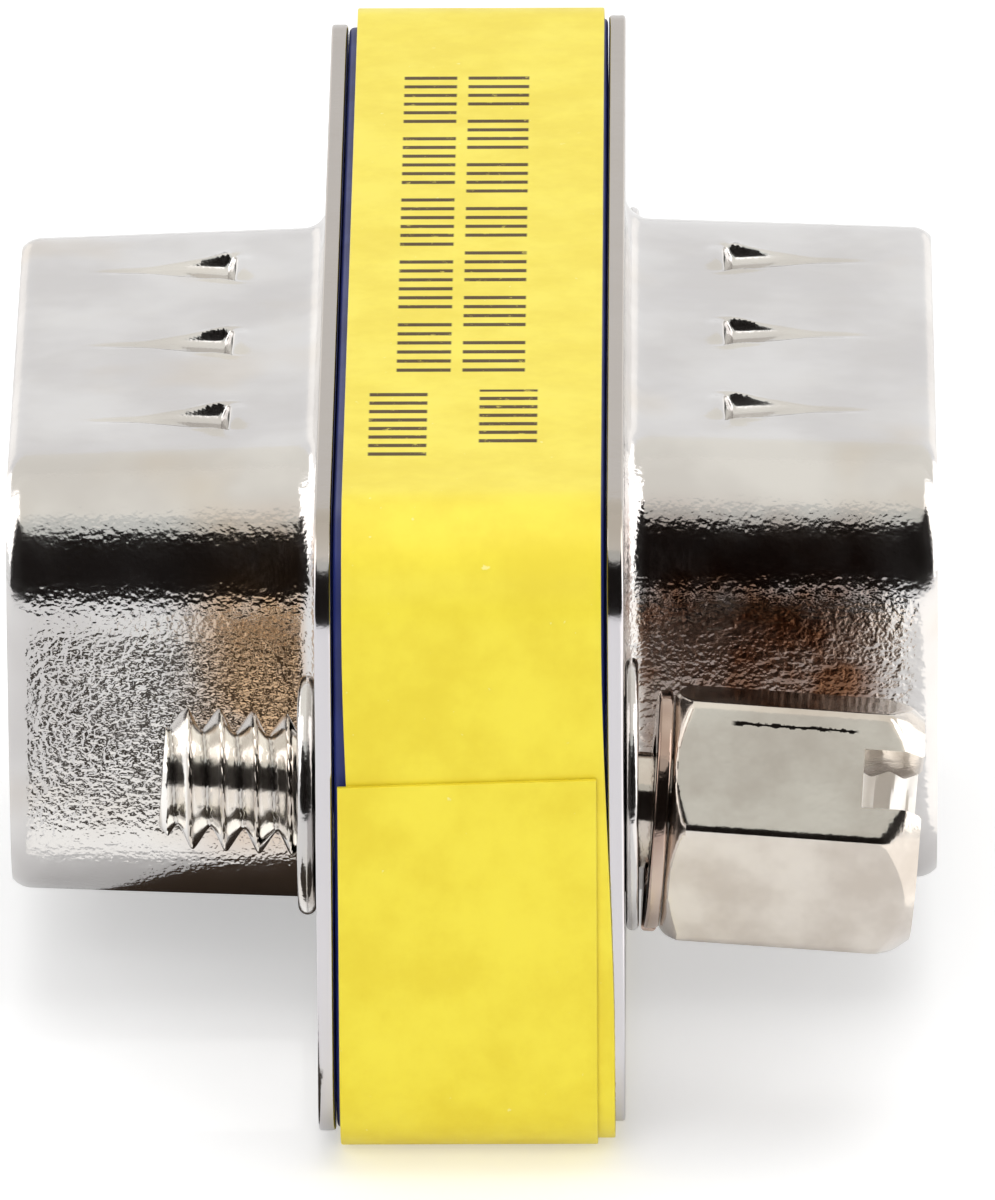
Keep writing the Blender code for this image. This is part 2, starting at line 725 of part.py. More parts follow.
def tape_path():
    """The tape's inner face as (x, y, z) points: under, up the near side, over, down and on."""
    radius, y, low, high = tape_loop(0)
    outer, _, _, _ = tape_loop(1)
    start = low + (high - low) * TAPE_START_HEIGHT
    end = low + (high - low) * TAPE_END_HEIGHT
    half, quarter = math.pi, math.pi / 2
    step_run = 6 * TAPE_THICKNESS
    points = [(TAPE_LOW_SHIFT, y + radius, start)]
    far_foot, near_foot = ((y, low), 0.0, -quarter), ((-y, low), -quarter, -half)
    near_head, far_head = ((-y, high), half, quarter), ((y, high), quarter, 0.0)
    inner_turn = (
        (TAPE_LOW_SHIFT, far_foot), (TAPE_LOW_SHIFT, near_foot),
        (TAPE_TOP_SHIFT, near_head), (TAPE_TOP_SHIFT, far_head),
    )
    for shift, (centre, first, last) in inner_turn:
        points.extend((shift, *point) for point in arc(centre, radius, first, last, CORNER_STEPS))
    points.append((TAPE_TOP_SHIFT, y + radius, start + TAPE_THICKNESS + step_run))
    points.append((TAPE_OUTER_SHIFT, y + outer, start + TAPE_THICKNESS))
    for centre, first, last in (far_foot, near_foot):
        points.extend(
            (TAPE_OUTER_SHIFT, *point) for point in arc(centre, outer, first, last, CORNER_STEPS))
    points.append((TAPE_OUTER_SHIFT, -y - outer, end))
    return points


def make_tape(material, parts):
    """The tape: one strip wound a little over once, which slips sideways as it goes."""
    form = bmesh.new()
    last = None
    for shift, y, z in tape_path():
        pair = [form.verts.new((shift + x, y, z)) for x in (-TAPE_WIDTH / 2, TAPE_WIDTH / 2)]
        if last is not None:
            form.faces.new((last[0], last[1], pair[1], pair[0]))
        last = pair
    mesh = bpy.data.meshes.new("label_tape")
    form.to_mesh(mesh)
    form.free()
    tape = add_object("label_tape", mesh, material, parts)
    thick = tape.modifiers.new("Thickness", "SOLIDIFY")
    thick.thickness = TAPE_THICKNESS
    thick.offset = 1.0
    thick.use_even_offset = True
    return tape


def build():
    """Build the whole adapter."""
    clear_scene()
    parts = make_collection(ADAPTER)
    cutters = make_collection("cutters")
    plate = plated_steel()
    materials = {"plate": plate, "screw": screw_steel()}
    gold = gold_plate()
    blue = blue_plastic()
    for name, side, centre in (("left", -1, LOW_CENTRE), ("right", 1, HIGH_CENTRE)):
        make_shell(f"{name}_shell", side, centre, plate, parts, cutters)
        make_insulator(f"{name}_insulator", side, centre, blue, parts, cutters)
        make_pins(name, side, centre, gold, parts)
    make_board(green_board(), parts)
    for name, y in (("near", -SCREW_OFFSET), ("far", SCREW_OFFSET)):
        make_rivet(f"{name}_rivet", y, plate, parts)
        make_screw_set(name, y, materials, parts, cutters)
    make_tape(yellow_tape(), parts)


build()
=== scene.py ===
"""Looks of a slim D-sub adapter: two nine-way plugs back to back, taped round the middle.

Frame, in metres: X runs along the mating axis with the jack screws' hex posts on its +X side, Y
along the flanges and Z up. The adapter stands on the underside of its tape at the origin.
"""

import logging
import math
from dataclasses import dataclass, field
from enum import Enum
from typing import Optional, Sequence

import bpy
import numpy as np
from mathutils import Matrix, Vector


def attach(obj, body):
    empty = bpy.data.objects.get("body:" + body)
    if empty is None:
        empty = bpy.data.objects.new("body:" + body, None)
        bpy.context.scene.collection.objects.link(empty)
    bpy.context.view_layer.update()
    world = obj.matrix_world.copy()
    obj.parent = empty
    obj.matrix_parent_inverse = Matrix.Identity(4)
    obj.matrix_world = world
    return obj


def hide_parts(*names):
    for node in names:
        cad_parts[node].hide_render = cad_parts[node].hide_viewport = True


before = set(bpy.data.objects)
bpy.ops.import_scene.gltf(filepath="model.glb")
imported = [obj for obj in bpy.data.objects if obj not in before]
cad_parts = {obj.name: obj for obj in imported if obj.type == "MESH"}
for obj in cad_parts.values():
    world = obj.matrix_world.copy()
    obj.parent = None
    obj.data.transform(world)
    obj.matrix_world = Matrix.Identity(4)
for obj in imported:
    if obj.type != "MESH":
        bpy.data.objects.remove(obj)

MM = 0.001
LOG = logging.getLogger("adapter")
Array = np.ndarray
Mesh = bpy.types.Mesh
Material = bpy.types.Material
Socket = bpy.types.NodeSocket
Corner = tuple[tuple[float, float], float, float]


class Half(Enum):
    """The two halves of the adapter, by the way that their shells face along X."""

    LEFT = -1
    RIGHT = 1


class End(Enum):
    """The two ends of the flanges, by the way that they lie along Y."""

    NEAR = -1
    FAR = 1


# ---- meshes


@dataclass
class Skin:
    """A surface before it becomes a mesh.

    Args:
        points: one row of x, y, z for each point.
        quads: four point numbers for each four-sided face.
        triangles: three point numbers for each three-sided face.
        uv: two numbers for each point, or None.
        grades: named numbers from 0 to 1 for each point, which a material may read.
    """

    points: Array
    quads: Array
    triangles: Array = field(default_factory=lambda: np.empty((0, 3), int))
    uv: Optional[Array] = None
    grades: dict[str, Array] = field(default_factory=dict)

    def volume(self) -> float:
        """Signed volume inside the faces: a sixth of the sum of each triangle's triple product.

        Returns:
            The volume, negative where the faces point in.
        """
        q = self.quads
        parts = [q[:, [0, 1, 2]], q[:, [0, 2, 3]], self.triangles]
        a, b, c = (self.points[np.concatenate([p[:, k] for p in parts])] for k in range(3))
        return float(np.einsum("ij,ij->i", a, np.cross(b, c)).sum() / 6)

    def outward(self) -> "Skin":
        """The same skin with its faces pointing out.

        Returns:
            The skin itself.
        """
        if self.volume() < 0:
            self.quads = self.quads[:, ::-1]
            self.triangles = self.triangles[:, ::-1]
        return self

    def moved(self, matrix: Matrix) -> "Skin":
        """The same skin with a matrix applied to its points.

        Args:
            matrix: where the skin goes.

        Returns:
            The skin itself.
        """
        m = np.array(matrix)
        self.points = self.points @ m[:3, :3].T + m[:3, 3]
        return self

    def mesh(self, name: str, crease: float = 32.0) -> Mesh:
        """Put the skin into a mesh, smooth but for edges sharper than an angle.

        Args:
            name: the mesh's name.
            crease: the angle in degrees above which an edge stays sharp.

        Returns:
            The mesh.
        """
        mesh = bpy.data.meshes.new(name)
        loops = np.concatenate([self.quads.ravel(), self.triangles.ravel()]).astype(np.int32)
        n4, n3 = len(self.quads), len(self.triangles)
        starts = np.concatenate([np.arange(n4) * 4, n4 * 4 + np.arange(n3) * 3]).astype(np.int32)
        mesh.vertices.add(len(self.points))
        mesh.vertices.foreach_set("co", self.points.astype(np.float32).ravel())
        mesh.loops.add(len(loops))
        mesh.loops.foreach_set("vertex_index", loops)
        mesh.polygons.add(n4 + n3)
        mesh.polygons.foreach_set("loop_start", starts)
        mesh.update(calc_edges=True)
        mesh.validate()
        if self.uv is not None:
            layer = mesh.uv_layers.new(name="UVMap")
            layer.data.foreach_set("uv", self.uv[loops].astype(np.float32).ravel())
        for label, values in self.grades.items():
            grade = mesh.attributes.new(label, "FLOAT", "POINT")
            grade.data.foreach_set("value", values.astype(np.float32))
        mesh.shade_smooth()
        mesh.set_sharp_from_angle(angle=math.radians(crease))
        return mesh


def grid_faces(rows: int, columns: int, wrap_rows: bool, wrap_columns: bool) -> Array:
    """Four-sided faces of a grid of points stored row by row.

    Args:
        rows: number of rows.
        columns: number of points in a row.
        wrap_rows: whether the last row joins the first.
        wrap_columns: whether each row closes on itself.

    Returns:
        Point numbers, one face a line.
    """
    r = np.arange(rows if wrap_rows else rows - 1)
    c = np.arange(columns if wrap_columns else columns - 1)
    i, j = np.meshgrid(r, c, indexing="ij")
    i2, j2 = (i + 1) % rows, (j + 1) % columns
    corners = (i * columns + j, i * columns + j2, i2 * columns + j2, i2 * columns + j)
    return np.stack(corners, -1).reshape(-1, 4)


def cap_faces(first: int, columns: int, pole: int) -> Array:
    """Triangles from a closed row of points to one pole point."""
    j = np.arange(columns)
    return np.stack((first + j, first + (j + 1) % columns, np.full(columns, pole)), -1)


def capped_tube(rows: Array, grades: Optional[dict[str, Array]] = None) -> Skin:
    """Close a stack of rings with a pole at the middle of its first and last ring.

    Args:
        rows: points as (ring, point in the ring, xyz).
        grades: named numbers as (ring, point in the ring).

    Returns:
        The closed skin.
    """
    count, columns = rows.shape[:2]
    points = rows.reshape(-1, 3)
    poles = np.stack((rows[0].mean(0), rows[-1].mean(0)))
    caps = np.concatenate((
        cap_faces(0, columns, len(points)),
        cap_faces((count - 1) * columns, columns, len(points) + 1)[:, ::-1],
    ))
    kept = {}
    for label, values in (grades or {}).items():
        ends = (values[0].mean(), values[-1].mean())
        kept[label] = np.concatenate((values.ravel(), ends))
    quads = grid_faces(count, columns, False, True)
    return Skin(np.concatenate((points, poles)), quads, caps, grades=kept).outward()


def turned(profile: Array, steps: int, closed: bool) -> Skin:
    """Turn a profile about Z: point = (r cos a, r sin a, h) for each (r, h) and angle a.

    Args:
        profile: (radius, height) points; an open one starts and ends on the axis.
        steps: number of angles.
        closed: whether the profile closes on itself, as a ring's does.

    Returns:
        The closed skin.
    """
    angles = np.linspace(0, 2 * np.pi, steps, endpoint=False)
    body = profile if closed else profile[1:-1]
    r, h = body[:, 0, None], body[:, 1, None]
    rows = np.stack(np.broadcast_arrays(r * np.cos(angles), r * np.sin(angles), h), -1)
    if closed:
        quads = grid_faces(len(body), steps, True, True)
        return Skin(rows.reshape(-1, 3), quads).outward()
    skin = capped_tube(rows)
    skin.points[-2:] = [(0, 0, profile[0, 1]), (0, 0, profile[-1, 1])]
    return skin.outward()


def rod(radius: float, low: float, high: float, steps: int) -> Skin:
    """A round rod along Z, which cuts a hole."""
    return turned(np.array([(0, low), (radius, low), (radius, high), (0, high)]), steps, False)


def column(values: Sequence[float]) -> Array:
    """Values as one column."""
    return np.asarray(values, float)[:, None]


def travelled(path: Array) -> Array:
    """Distance along a path at each of its points."""
    return np.concatenate(([0], np.cumsum(np.linalg.norm(np.diff(path, axis=0), axis=1))))


def arc(centre: Sequence[float], radius: float, first: float, last: float, steps: int) -> Array:
    """Points on an arc from one angle to another, in degrees, both ends included."""
    a = np.radians(np.linspace(first, last, steps + 1))
    return np.stack((centre[0] + radius * np.cos(a), centre[1] + radius * np.sin(a)), -1)


def close_samples(low: float, high: float, step: float, dense: Sequence[tuple]) -> Array:
    """Rising positions from low to high, closer together inside each dense stretch.

    Args:
        low: first position.
        high: last position.
        step: widest step outside the dense stretches.
        dense: (start, end, step) for each dense stretch.

    Returns:
        The positions.
    """
    parts = [np.linspace(low, high, max(2, int(math.ceil((high - low) / step)) + 1))]
    for start, end, fine in dense:
        inside = (parts[0] <= start) | (parts[0] >= end)
        parts[0] = parts[0][inside]
        parts.append(np.linspace(start, end, int(math.ceil((end - start) / fine)) + 1))
    merged = np.unique(np.round(np.concatenate(parts), 9))
    return merged[(merged >= low) & (merged <= high)]


def soft_step(value: Array, width: float) -> Array:
    """Rise smoothly from 0 to 1 as value goes from 0 to width."""
    t = np.clip(value / width, 0, 1)
    return t * t * (3 - 2 * t)


def soft_least(a: Array, b: Array, blend: float) -> Array:
    """The lesser of two arrays, rounded over where they cross within a blend distance."""
    h = np.clip(0.5 + 0.5 * (b - a) / blend, 0, 1)
    return b + (a - b) * h - blend * h * (1 - h)


def show(name: str, data: bpy.types.ID) -> bpy.types.Object:
    """Put a mesh, a lamp or a camera into the scene as an object.

    Args:
        name: the object's name.
        data: what it shows.

    Returns:
        The object.
    """
    thing = bpy.data.objects.new(name, data)
    bpy.context.scene.collection.objects.link(thing)
    return thing


def along_x(y: float, z: float) -> Matrix:
    """Turn something built along Z so that it runs along X, at a place in Y and Z."""
    return Matrix.Translation((0, y, z)) @ Matrix.Rotation(math.pi / 2, 4, "Y")


def add_piece(
    name: str,
    mesh: Mesh,
    material: Material,
    body: str,
    nodes: Sequence[str],
) -> bpy.types.Object:
    """Show a mesh as a piece that rides on a body and stands for CAD nodes.

    Args:
        name: the piece's name.
        mesh: its mesh, already in place.
        material: its finish.
        body: the CAD body that it moves with.
        nodes: the CAD nodes that it replaces.

    Returns:
        The piece.
    """
    thing = show(name, mesh)
    mesh.materials.clear()
    mesh.materials.append(material)
    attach(thing, body)
    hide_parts(*nodes)
    faces = sum(len(p.vertices) - 2 for p in mesh.polygons)
    LOG.info("%s: %d triangles on %s", name, faces, body)
    return thing


def carved(mesh: Mesh, tool: Mesh, crease: float = 32.0) -> Mesh:
    """Cut one closed mesh out of another with the exact Boolean.

    Args:
        mesh: the mesh that loses material.
        tool: the mesh that cuts.
        crease: the angle in degrees above which an edge stays sharp.

    Returns:
        A new mesh.
    """
    holder, cutter = show("carve", mesh), show("cutter", tool)
    cut = holder.modifiers.new("Cut", "BOOLEAN")
    cut.operation = "DIFFERENCE"
    cut.solver = "EXACT"
    cut.object = cutter
    bpy.context.view_layer.update()
    graph = bpy.context.evaluated_depsgraph_get()
    result = bpy.data.meshes.new_from_object(holder.evaluated_get(graph))
    for thing in (holder, cutter):
        bpy.data.objects.remove(thing, do_unlink=True)
    result.name = mesh.name
    result.shade_smooth()
    result.set_sharp_from_angle(angle=math.radians(crease))
    return result


# ---- finishes


class Shader:
    """A material's node tree, with short calls for the nodes that the finishes use."""

    def __init__(self, name: str) -> None:
        """Start a Principled material under a name.

        Args:
            name: the material's name.
        """
        self.material = bpy.data.materials.new(name)
        self.material.use_nodes = True
        self.tree = self.material.node_tree
        self.surface = self.tree.nodes["Principled BSDF"]

    def node(self, kind: str, **settings: object) -> bpy.types.Node:
        """Add a node of a kind and set its properties.

        Args:
            kind: the node's type.
            settings: its properties by name.

        Returns:
            The node.
        """
        made = self.tree.nodes.new(kind)
        for key, value in settings.items():
            setattr(made, key, value)
        return made

    def plug(self, value: object, socket: Socket) -> None:
        """Link a socket, or write a plain value.

        Args:
            value: a socket or a plain value.
            socket: the input that takes it.
        """
        if isinstance(value, Socket):
            self.tree.links.new(value, socket)
        else:
            socket.default_value = value

    def give(self, name: str, value: object) -> None:
        """Link or write one of the surface's own sockets."""
        self.plug(value, self.surface.inputs[name])

    def split(self, vector: Socket) -> list[Socket]:
        """The three numbers of a vector.

        Args:
            vector: the vector's socket.

        Returns:
            A socket for each number.
        """
        made = self.node("ShaderNodeSeparateXYZ")
        self.plug(vector, made.inputs[0])
        return list(made.outputs)

    def place(self) -> Socket:
        """Object coordinates, in metres."""
        return self.node("ShaderNodeTexCoord").outputs["Object"]

    def math(self, operation: str, a: object, b: object = 0.0, c: object = 0.0) -> Socket:
        """One Math node.

        Args:
            operation: the node's operation.
            a: first value or socket.
            b: second one.
            c: third one.

        Returns:
            Its output.
        """
        made = self.node("ShaderNodeMath", operation=operation)
        for socket, value in zip(made.inputs, (a, b, c)):
            self.plug(value, socket)
        return made.outputs[0]

    def noise(self, where: object, size: float, detail: float = 3, rough: float = 0.5) -> Socket:
        """Noise whose blobs are about a size across, in the units of its coordinates.

        Args:
            where: the coordinates.
            size: the blobs' size.
            detail: number of finer layers.
            rough: strength of each finer layer.

        Returns:
            The noise, from 0 to 1.
        """
        made = self.node("ShaderNodeTexNoise")
        self.plug(where, made.inputs["Vector"])
        made.inputs["Scale"].default_value = 1.0 / size
        made.inputs["Detail"].default_value = detail
        made.inputs["Roughness"].default_value = rough
        return made.outputs["Fac"]

    def ramp(
        self, value: object, low: float, high: float, start: float = 0.0, end: float = 1.0
    ) -> Socket:
        """Map low..high onto start..end smoothly, held at both ends.

        Args:
            value: what is mapped.
            low: value that gives start.
            high: value that gives end.
            start: result at low.
            end: result at high.

        Returns:
            The mapped value.
        """
        made = self.node("ShaderNodeMapRange", interpolation_type="SMOOTHSTEP")
        for key, item in (("Value", value), ("From Min", low), ("From Max", high),
                          ("To Min", start), ("To Max", end)):
            self.plug(item, made.inputs[key])
        return made.outputs["Result"]

    def mix(self, share: object, a: object, b: object) -> Socket:
        """Mix two colours.

        Args:
            share: how much of b there is, from 0 to 1.
            a: first colour.
            b: second colour.

        Returns:
            The mixed colour.
        """
        made = self.node("ShaderNodeMix", data_type="RGBA")
        self.plug(share, made.inputs["Factor"])
        self.plug(a, made.inputs["A"])
        self.plug(b, made.inputs["B"])
        return next(s for s in made.outputs if s.type == "RGBA")

    def bump(self, height: object, strength: float, depth: float, after: object = None) -> Socket:
        """Bump from a height of 0 to 1 that stands for a depth in metres.

        Args:
            height: the height.
            strength: share of the full bump.
            depth: what a height of 1 stands for, in metres.
            after: the normal that it adds to, or None.

        Returns:
            The normal.
        """
        made = self.node("ShaderNodeBump")
        made.inputs["Strength"].default_value = strength
        made.inputs["Distance"].default_value = depth
        self.plug(height, made.inputs["Height"])
        if after is not None:
            self.plug(after, made.inputs["Normal"])
        return made.outputs["Normal"]

    def attribute(self, name: str) -> Socket:
        """A number that the mesh carries for each point or face."""
        return self.node("ShaderNodeAttribute", attribute_name=name).outputs["Fac"]

    def uv(self) -> tuple[Socket, Socket]:
        """The two UV numbers of the piece's own map."""
        u, v, _ = self.split(self.node("ShaderNodeUVMap", uv_map="UVMap").outputs[0])
        return u, v


def srgb(red: float, green: float, blue: float) -> tuple[float, float, float, float]:
    """A colour as linear light: c / 12.92 when dark, else ((c + 0.055) / 1.055)^2.4.

    Args:
        red: its red on a screen, from 0 to 255.
        green: its green.
        blue: its blue.

    Returns:
        The colour with an alpha of 1.
    """
    c = np.array((red, green, blue)) / 255
    linear = np.where(c <= 0.04045, c / 12.92, ((c + 0.055) / 1.055) ** 2.4)
    return (*linear.tolist(), 1.0)


@dataclass(frozen=True)
class PlatedSteel:
    """Bright plate over drawn sheet: softly clouded, with orange peel where it was formed."""

    light: tuple = srgb(217, 215, 214)
    dull: tuple = srgb(203, 200, 199)
    warm: tuple = srgb(206, 192, 172)
    gloss: float = 0.12
    cloud: float = 0.06
    # Painted reflection of the screws: its brown, paler on the left, and where it lies.
    tint: tuple = srgb(130, 88, 58)
    pale_painted_reflection: tuple = srgb(204, 170, 134)
    # The sheared rim's grey, and its darker top, which is painted shade.
    sheared: tuple = srgb(214, 211, 215)
    shaded_rim_top: tuple = srgb(172, 164, 156)
    reflection_centre: tuple = (12.5 * MM, 7.0 * MM)
    reflection_reach: tuple = (6.6 * MM, 4.6 * MM)
    reflection_root: tuple = (3.1 * MM, 3.4 * MM)
    reflection_left: tuple = (-6.0 * MM, -4.4 * MM)
    reflection_right: tuple = (8.3 * MM, 7.2 * MM)
    rim_shade: tuple = (11.6 * MM, 12.8 * MM)
    peel_size: float = 0.135 * MM
    peel_depth: float = 0.042 * MM
    grain_size: float = 0.10 * MM
    grain_depth: float = 0.0020 * MM

    def marks(self, s: Shader, place: Socket, colour: Socket) -> Socket:
        """Painted reflection of the screws, brown beside each one, and the greyer sheared rim.

        The painted reflection falls off with the distance in Y and Z from the screw's axis. It is
        paler on the left half, where it ends early, and it stops short of the right mouth. The rim
        darkens towards the top, which is painted shade.

        Args:
            s: the shader that the nodes are added to.
            place: object coordinates.
            colour: the plate's colour.

        Returns:
            The marked colour.
        """
        x, y, z = s.split(place)
        # Painted reflection of the screws: brown that falls off round each screw's axis.
        far = s.math("SUBTRACT", s.math("ABSOLUTE", y), self.reflection_centre[0])
        high = s.math("SUBTRACT", z, self.reflection_centre[1])
        square = s.math("ADD", s.math("MULTIPLY", far, far), s.math("MULTIPLY", high, high))
        share = s.ramp(s.math("SQRT", square), *self.reflection_reach, 0.0, 0.95)
        on_wall = s.ramp(s.math("ABSOLUTE", x), *self.reflection_root)
        patch = s.ramp(s.noise(place, 1.5 * MM, 3.0, 0.6), 0.35, 0.6, 0.45, 1.0)
        for limit in (on_wall, s.ramp(x, *self.reflection_left), patch, s.ramp(x, *self.reflection_right)):
            share = s.math("MULTIPLY", share, limit)
        tint = s.mix(s.ramp(x, -3 * MM, 3 * MM), self.pale_painted_reflection, self.tint)
        # Painted shade: the sheared rim turns darker towards its top.
        rim = s.mix(s.ramp(z, *self.rim_shade), self.sheared, self.shaded_rim_top)
        return s.mix(s.math("MULTIPLY", s.attribute("cut"), 0.9), s.mix(share, colour, tint), rim)

    def material(self, name: str, graded: bool) -> Material:
        """Build the plate.

        Args:
            name: the material's name.
            graded: whether the mesh carries the "formed" grade that sets the orange peel.

        Returns:
            The material.
        """
        s = Shader(name)
        place = s.place()
        clouds = s.noise(place, 2.6 * MM, 3.0, 0.5)
        colour = s.mix(s.ramp(clouds, 0.32, 0.68), self.dull, self.light)
        stains = s.noise(place, 3.4 * MM, 2.0, 0.5)
        colour = s.mix(s.ramp(stains, 0.55, 0.75, 0.0, 0.35), colour, self.warm)
        # On the shells: the painted reflection beside the screws and the rim's painted shade.
        if graded:
            colour = self.marks(s, place, colour)
        s.give("Base Color", colour)
        s.give("Metallic", 1.0)
        haze = s.noise(place, 1.1 * MM, 4.0, 0.55)
        s.give("Roughness", s.ramp(haze, 0.35, 0.7, self.gloss, self.gloss + self.cloud))
        peel = s.noise(place, self.peel_size, 1.5, 0.6)
        waves = s.noise(place, 1.3 * MM, 2.0, 0.5)
        if graded:
            peel = s.math("MULTIPLY", peel, s.attribute("formed"))
        rolled = s.bump(peel, 1.0, self.peel_depth)
        rolled = s.bump(waves, 1.0, 0.012 * MM, rolled)
        grain = s.noise(place, self.grain_size, 2.0, 0.5)
        s.give("Normal", s.bump(grain, 1.0, self.grain_depth, rolled))
        return s.material


@dataclass(frozen=True)
class ScrewSteel:
    """Nickel plate over turned steel, a little warmer, with fine tool marks."""

    light: tuple = srgb(220, 213, 205)
    dull: tuple = srgb(198, 189, 180)
    # Nearly white: used on the thread's flanks, and in the tapped bore as painted light.
    rolled: tuple = srgb(252, 249, 245)
    # Painted shade in the deepest part of the thread's groove.
    root_shade: tuple = srgb(70, 54, 46)
    gloss: float = 0.10
    cloud: float = 0.08
    tapped_rough: float = 0.38
    scored: tuple = srgb(26, 22, 20)
    score_size: tuple = (0.10 * MM, 0.065 * MM, 1.24 * MM)

    def score(self, s: Shader, place: Socket, at: Matrix) -> Socket:
        """A ragged dark line scored into one flat of the hex post.

        Args:
            s: the shader that the nodes are added to.
            place: object coordinates.
            at: the line's place, with X out of the flat and Z along the line.

        Returns:
            The mask: 1 on the line, 0 elsewhere.
        """
        turned_in = s.node("ShaderNodeMapping", vector_type="TEXTURE")
        s.plug(place, turned_in.inputs["Vector"])
        turned_in.inputs["Location"].default_value = at.to_translation()
        turned_in.inputs["Rotation"].default_value = at.to_euler()
        turned_in.inputs["Scale"].default_value = self.score_size
        out, across, along = (s.math("ABSOLUTE", value) for value in s.split(turned_in.outputs[0]))
        ragged = s.ramp(s.noise(place, 0.12 * MM, 2.0, 0.6), 0.35, 0.65, 0.35, 1.0)
        thin = s.ramp(s.math("DIVIDE", across, ragged), 1.0, 0.6)
        return s.math("MULTIPLY", thin, s.ramp(s.math("MAXIMUM", out, along), 1.0, 0.9))

    def material(self, name: str, scored_at: Matrix) -> Material:
        """Build the screw's plate, with a line scored at a place.

        Args:
            name: the material's name.
            scored_at: the line's place.

        Returns:
            The material.
        """
        s = Shader(name)
        place = s.place()
        clouds = s.noise(place, 1.8 * MM, 4.0, 0.55)
        colour = s.mix(s.ramp(clouds, 0.35, 0.65), self.dull, self.light)
        groove = s.attribute("groove")
        colour = s.mix(s.ramp(groove, 0.02, 0.25, 0.0, 0.9), colour, self.rolled)
        # Painted light: the tapped bore is made nearly white, so the hole reads bright inside the
        # post.
        tapped = s.attribute("tapped")
        colour = s.mix(s.math("MULTIPLY", tapped, 0.9), colour, self.rolled)
        # Painted shade: the thread's roots are darkened towards the bottom of the groove.
        deep = s.ramp(groove, 0.88, 1.0, 0.0, 0.4)
        colour = s.mix(self.score(s, place, scored_at), colour, self.scored)
        s.give("Base Color", s.mix(deep, colour, self.root_shade))
        s.give("Metallic", 1.0)
        haze = s.noise(place, 0.9 * MM, 4.0, 0.55)
        rough = s.ramp(haze, 0.35, 0.7, self.gloss, self.gloss + self.cloud)
        rough = s.math("ADD", rough, s.math("MULTIPLY", tapped, self.tapped_rough))
        s.give("Roughness", rough)
        dents = s.bump(s.noise(place, 0.6 * MM, 3.0, 0.5), 1.0, 0.010 * MM)
        grain = s.noise(place, 0.08 * MM, 2.0, 0.5)
        s.give("Normal", s.bump(grain, 1.0, 0.0016 * MM, dents))
        return s.material


@dataclass(frozen=True)
class GoldPlate:
    """Thin gold over the turned contacts."""

    colour: tuple = srgb(226, 186, 96)
    shade: tuple = srgb(190, 144, 70)

    def material(self, name: str) -> Material:
        """Build the gold.

        Args:
            name: the material's name.

        Returns:
            The material.
        """
        s = Shader(name)
        place = s.place()
        clouds = s.noise(place, 0.8 * MM, 4.0, 0.6)
        s.give("Base Color", s.mix(s.ramp(clouds, 0.3, 0.7), self.shade, self.colour))
        s.give("Metallic", 1.0)
        s.give("Roughness", s.ramp(clouds, 0.3, 0.7, 0.28, 0.16))
        grain = s.noise(place, 0.1 * MM, 2.0, 0.5)
        s.give("Normal", s.bump(grain, 1.0, 0.002 * MM))
        return s.material


@dataclass(frozen=True)
class MouldedPlastic:
    """Moulded plastic with a fine spark-eroded skin."""

    colour: tuple
    shade: tuple
    rough: float = 0.42

    def material(self, name: str) -> Material:
        """Build the plastic.

        Args:
            name: the material's name.

        Returns:
            The material.
        """
        s = Shader(name)
        place = s.place()
        clouds = s.noise(place, 2.0 * MM, 4.0, 0.6)
        s.give("Base Color", s.mix(s.ramp(clouds, 0.3, 0.7), self.shade, self.colour))
        s.give("Roughness", s.ramp(clouds, 0.3, 0.7, self.rough + 0.08, self.rough))
        skin = s.noise(place, 0.06 * MM, 3.0, 0.6)
        s.give("Normal", s.bump(skin, 1.0, 0.003 * MM))
        return s.material


@dataclass(frozen=True)
class PrintField:
    """A row of plain bars printed across the tape.

    Args:
        low: lowest (along, across) corner of the field in millimetres.
        high: highest corner.
        pitch: distance from one bar to the next, in millimetres.
        bar: share of the pitch that is inked.
        group: number of bars after which one is left out.
    """

    low: tuple[float, float]
    high: tuple[float, float]
    pitch: float
    bar: float
    group: float


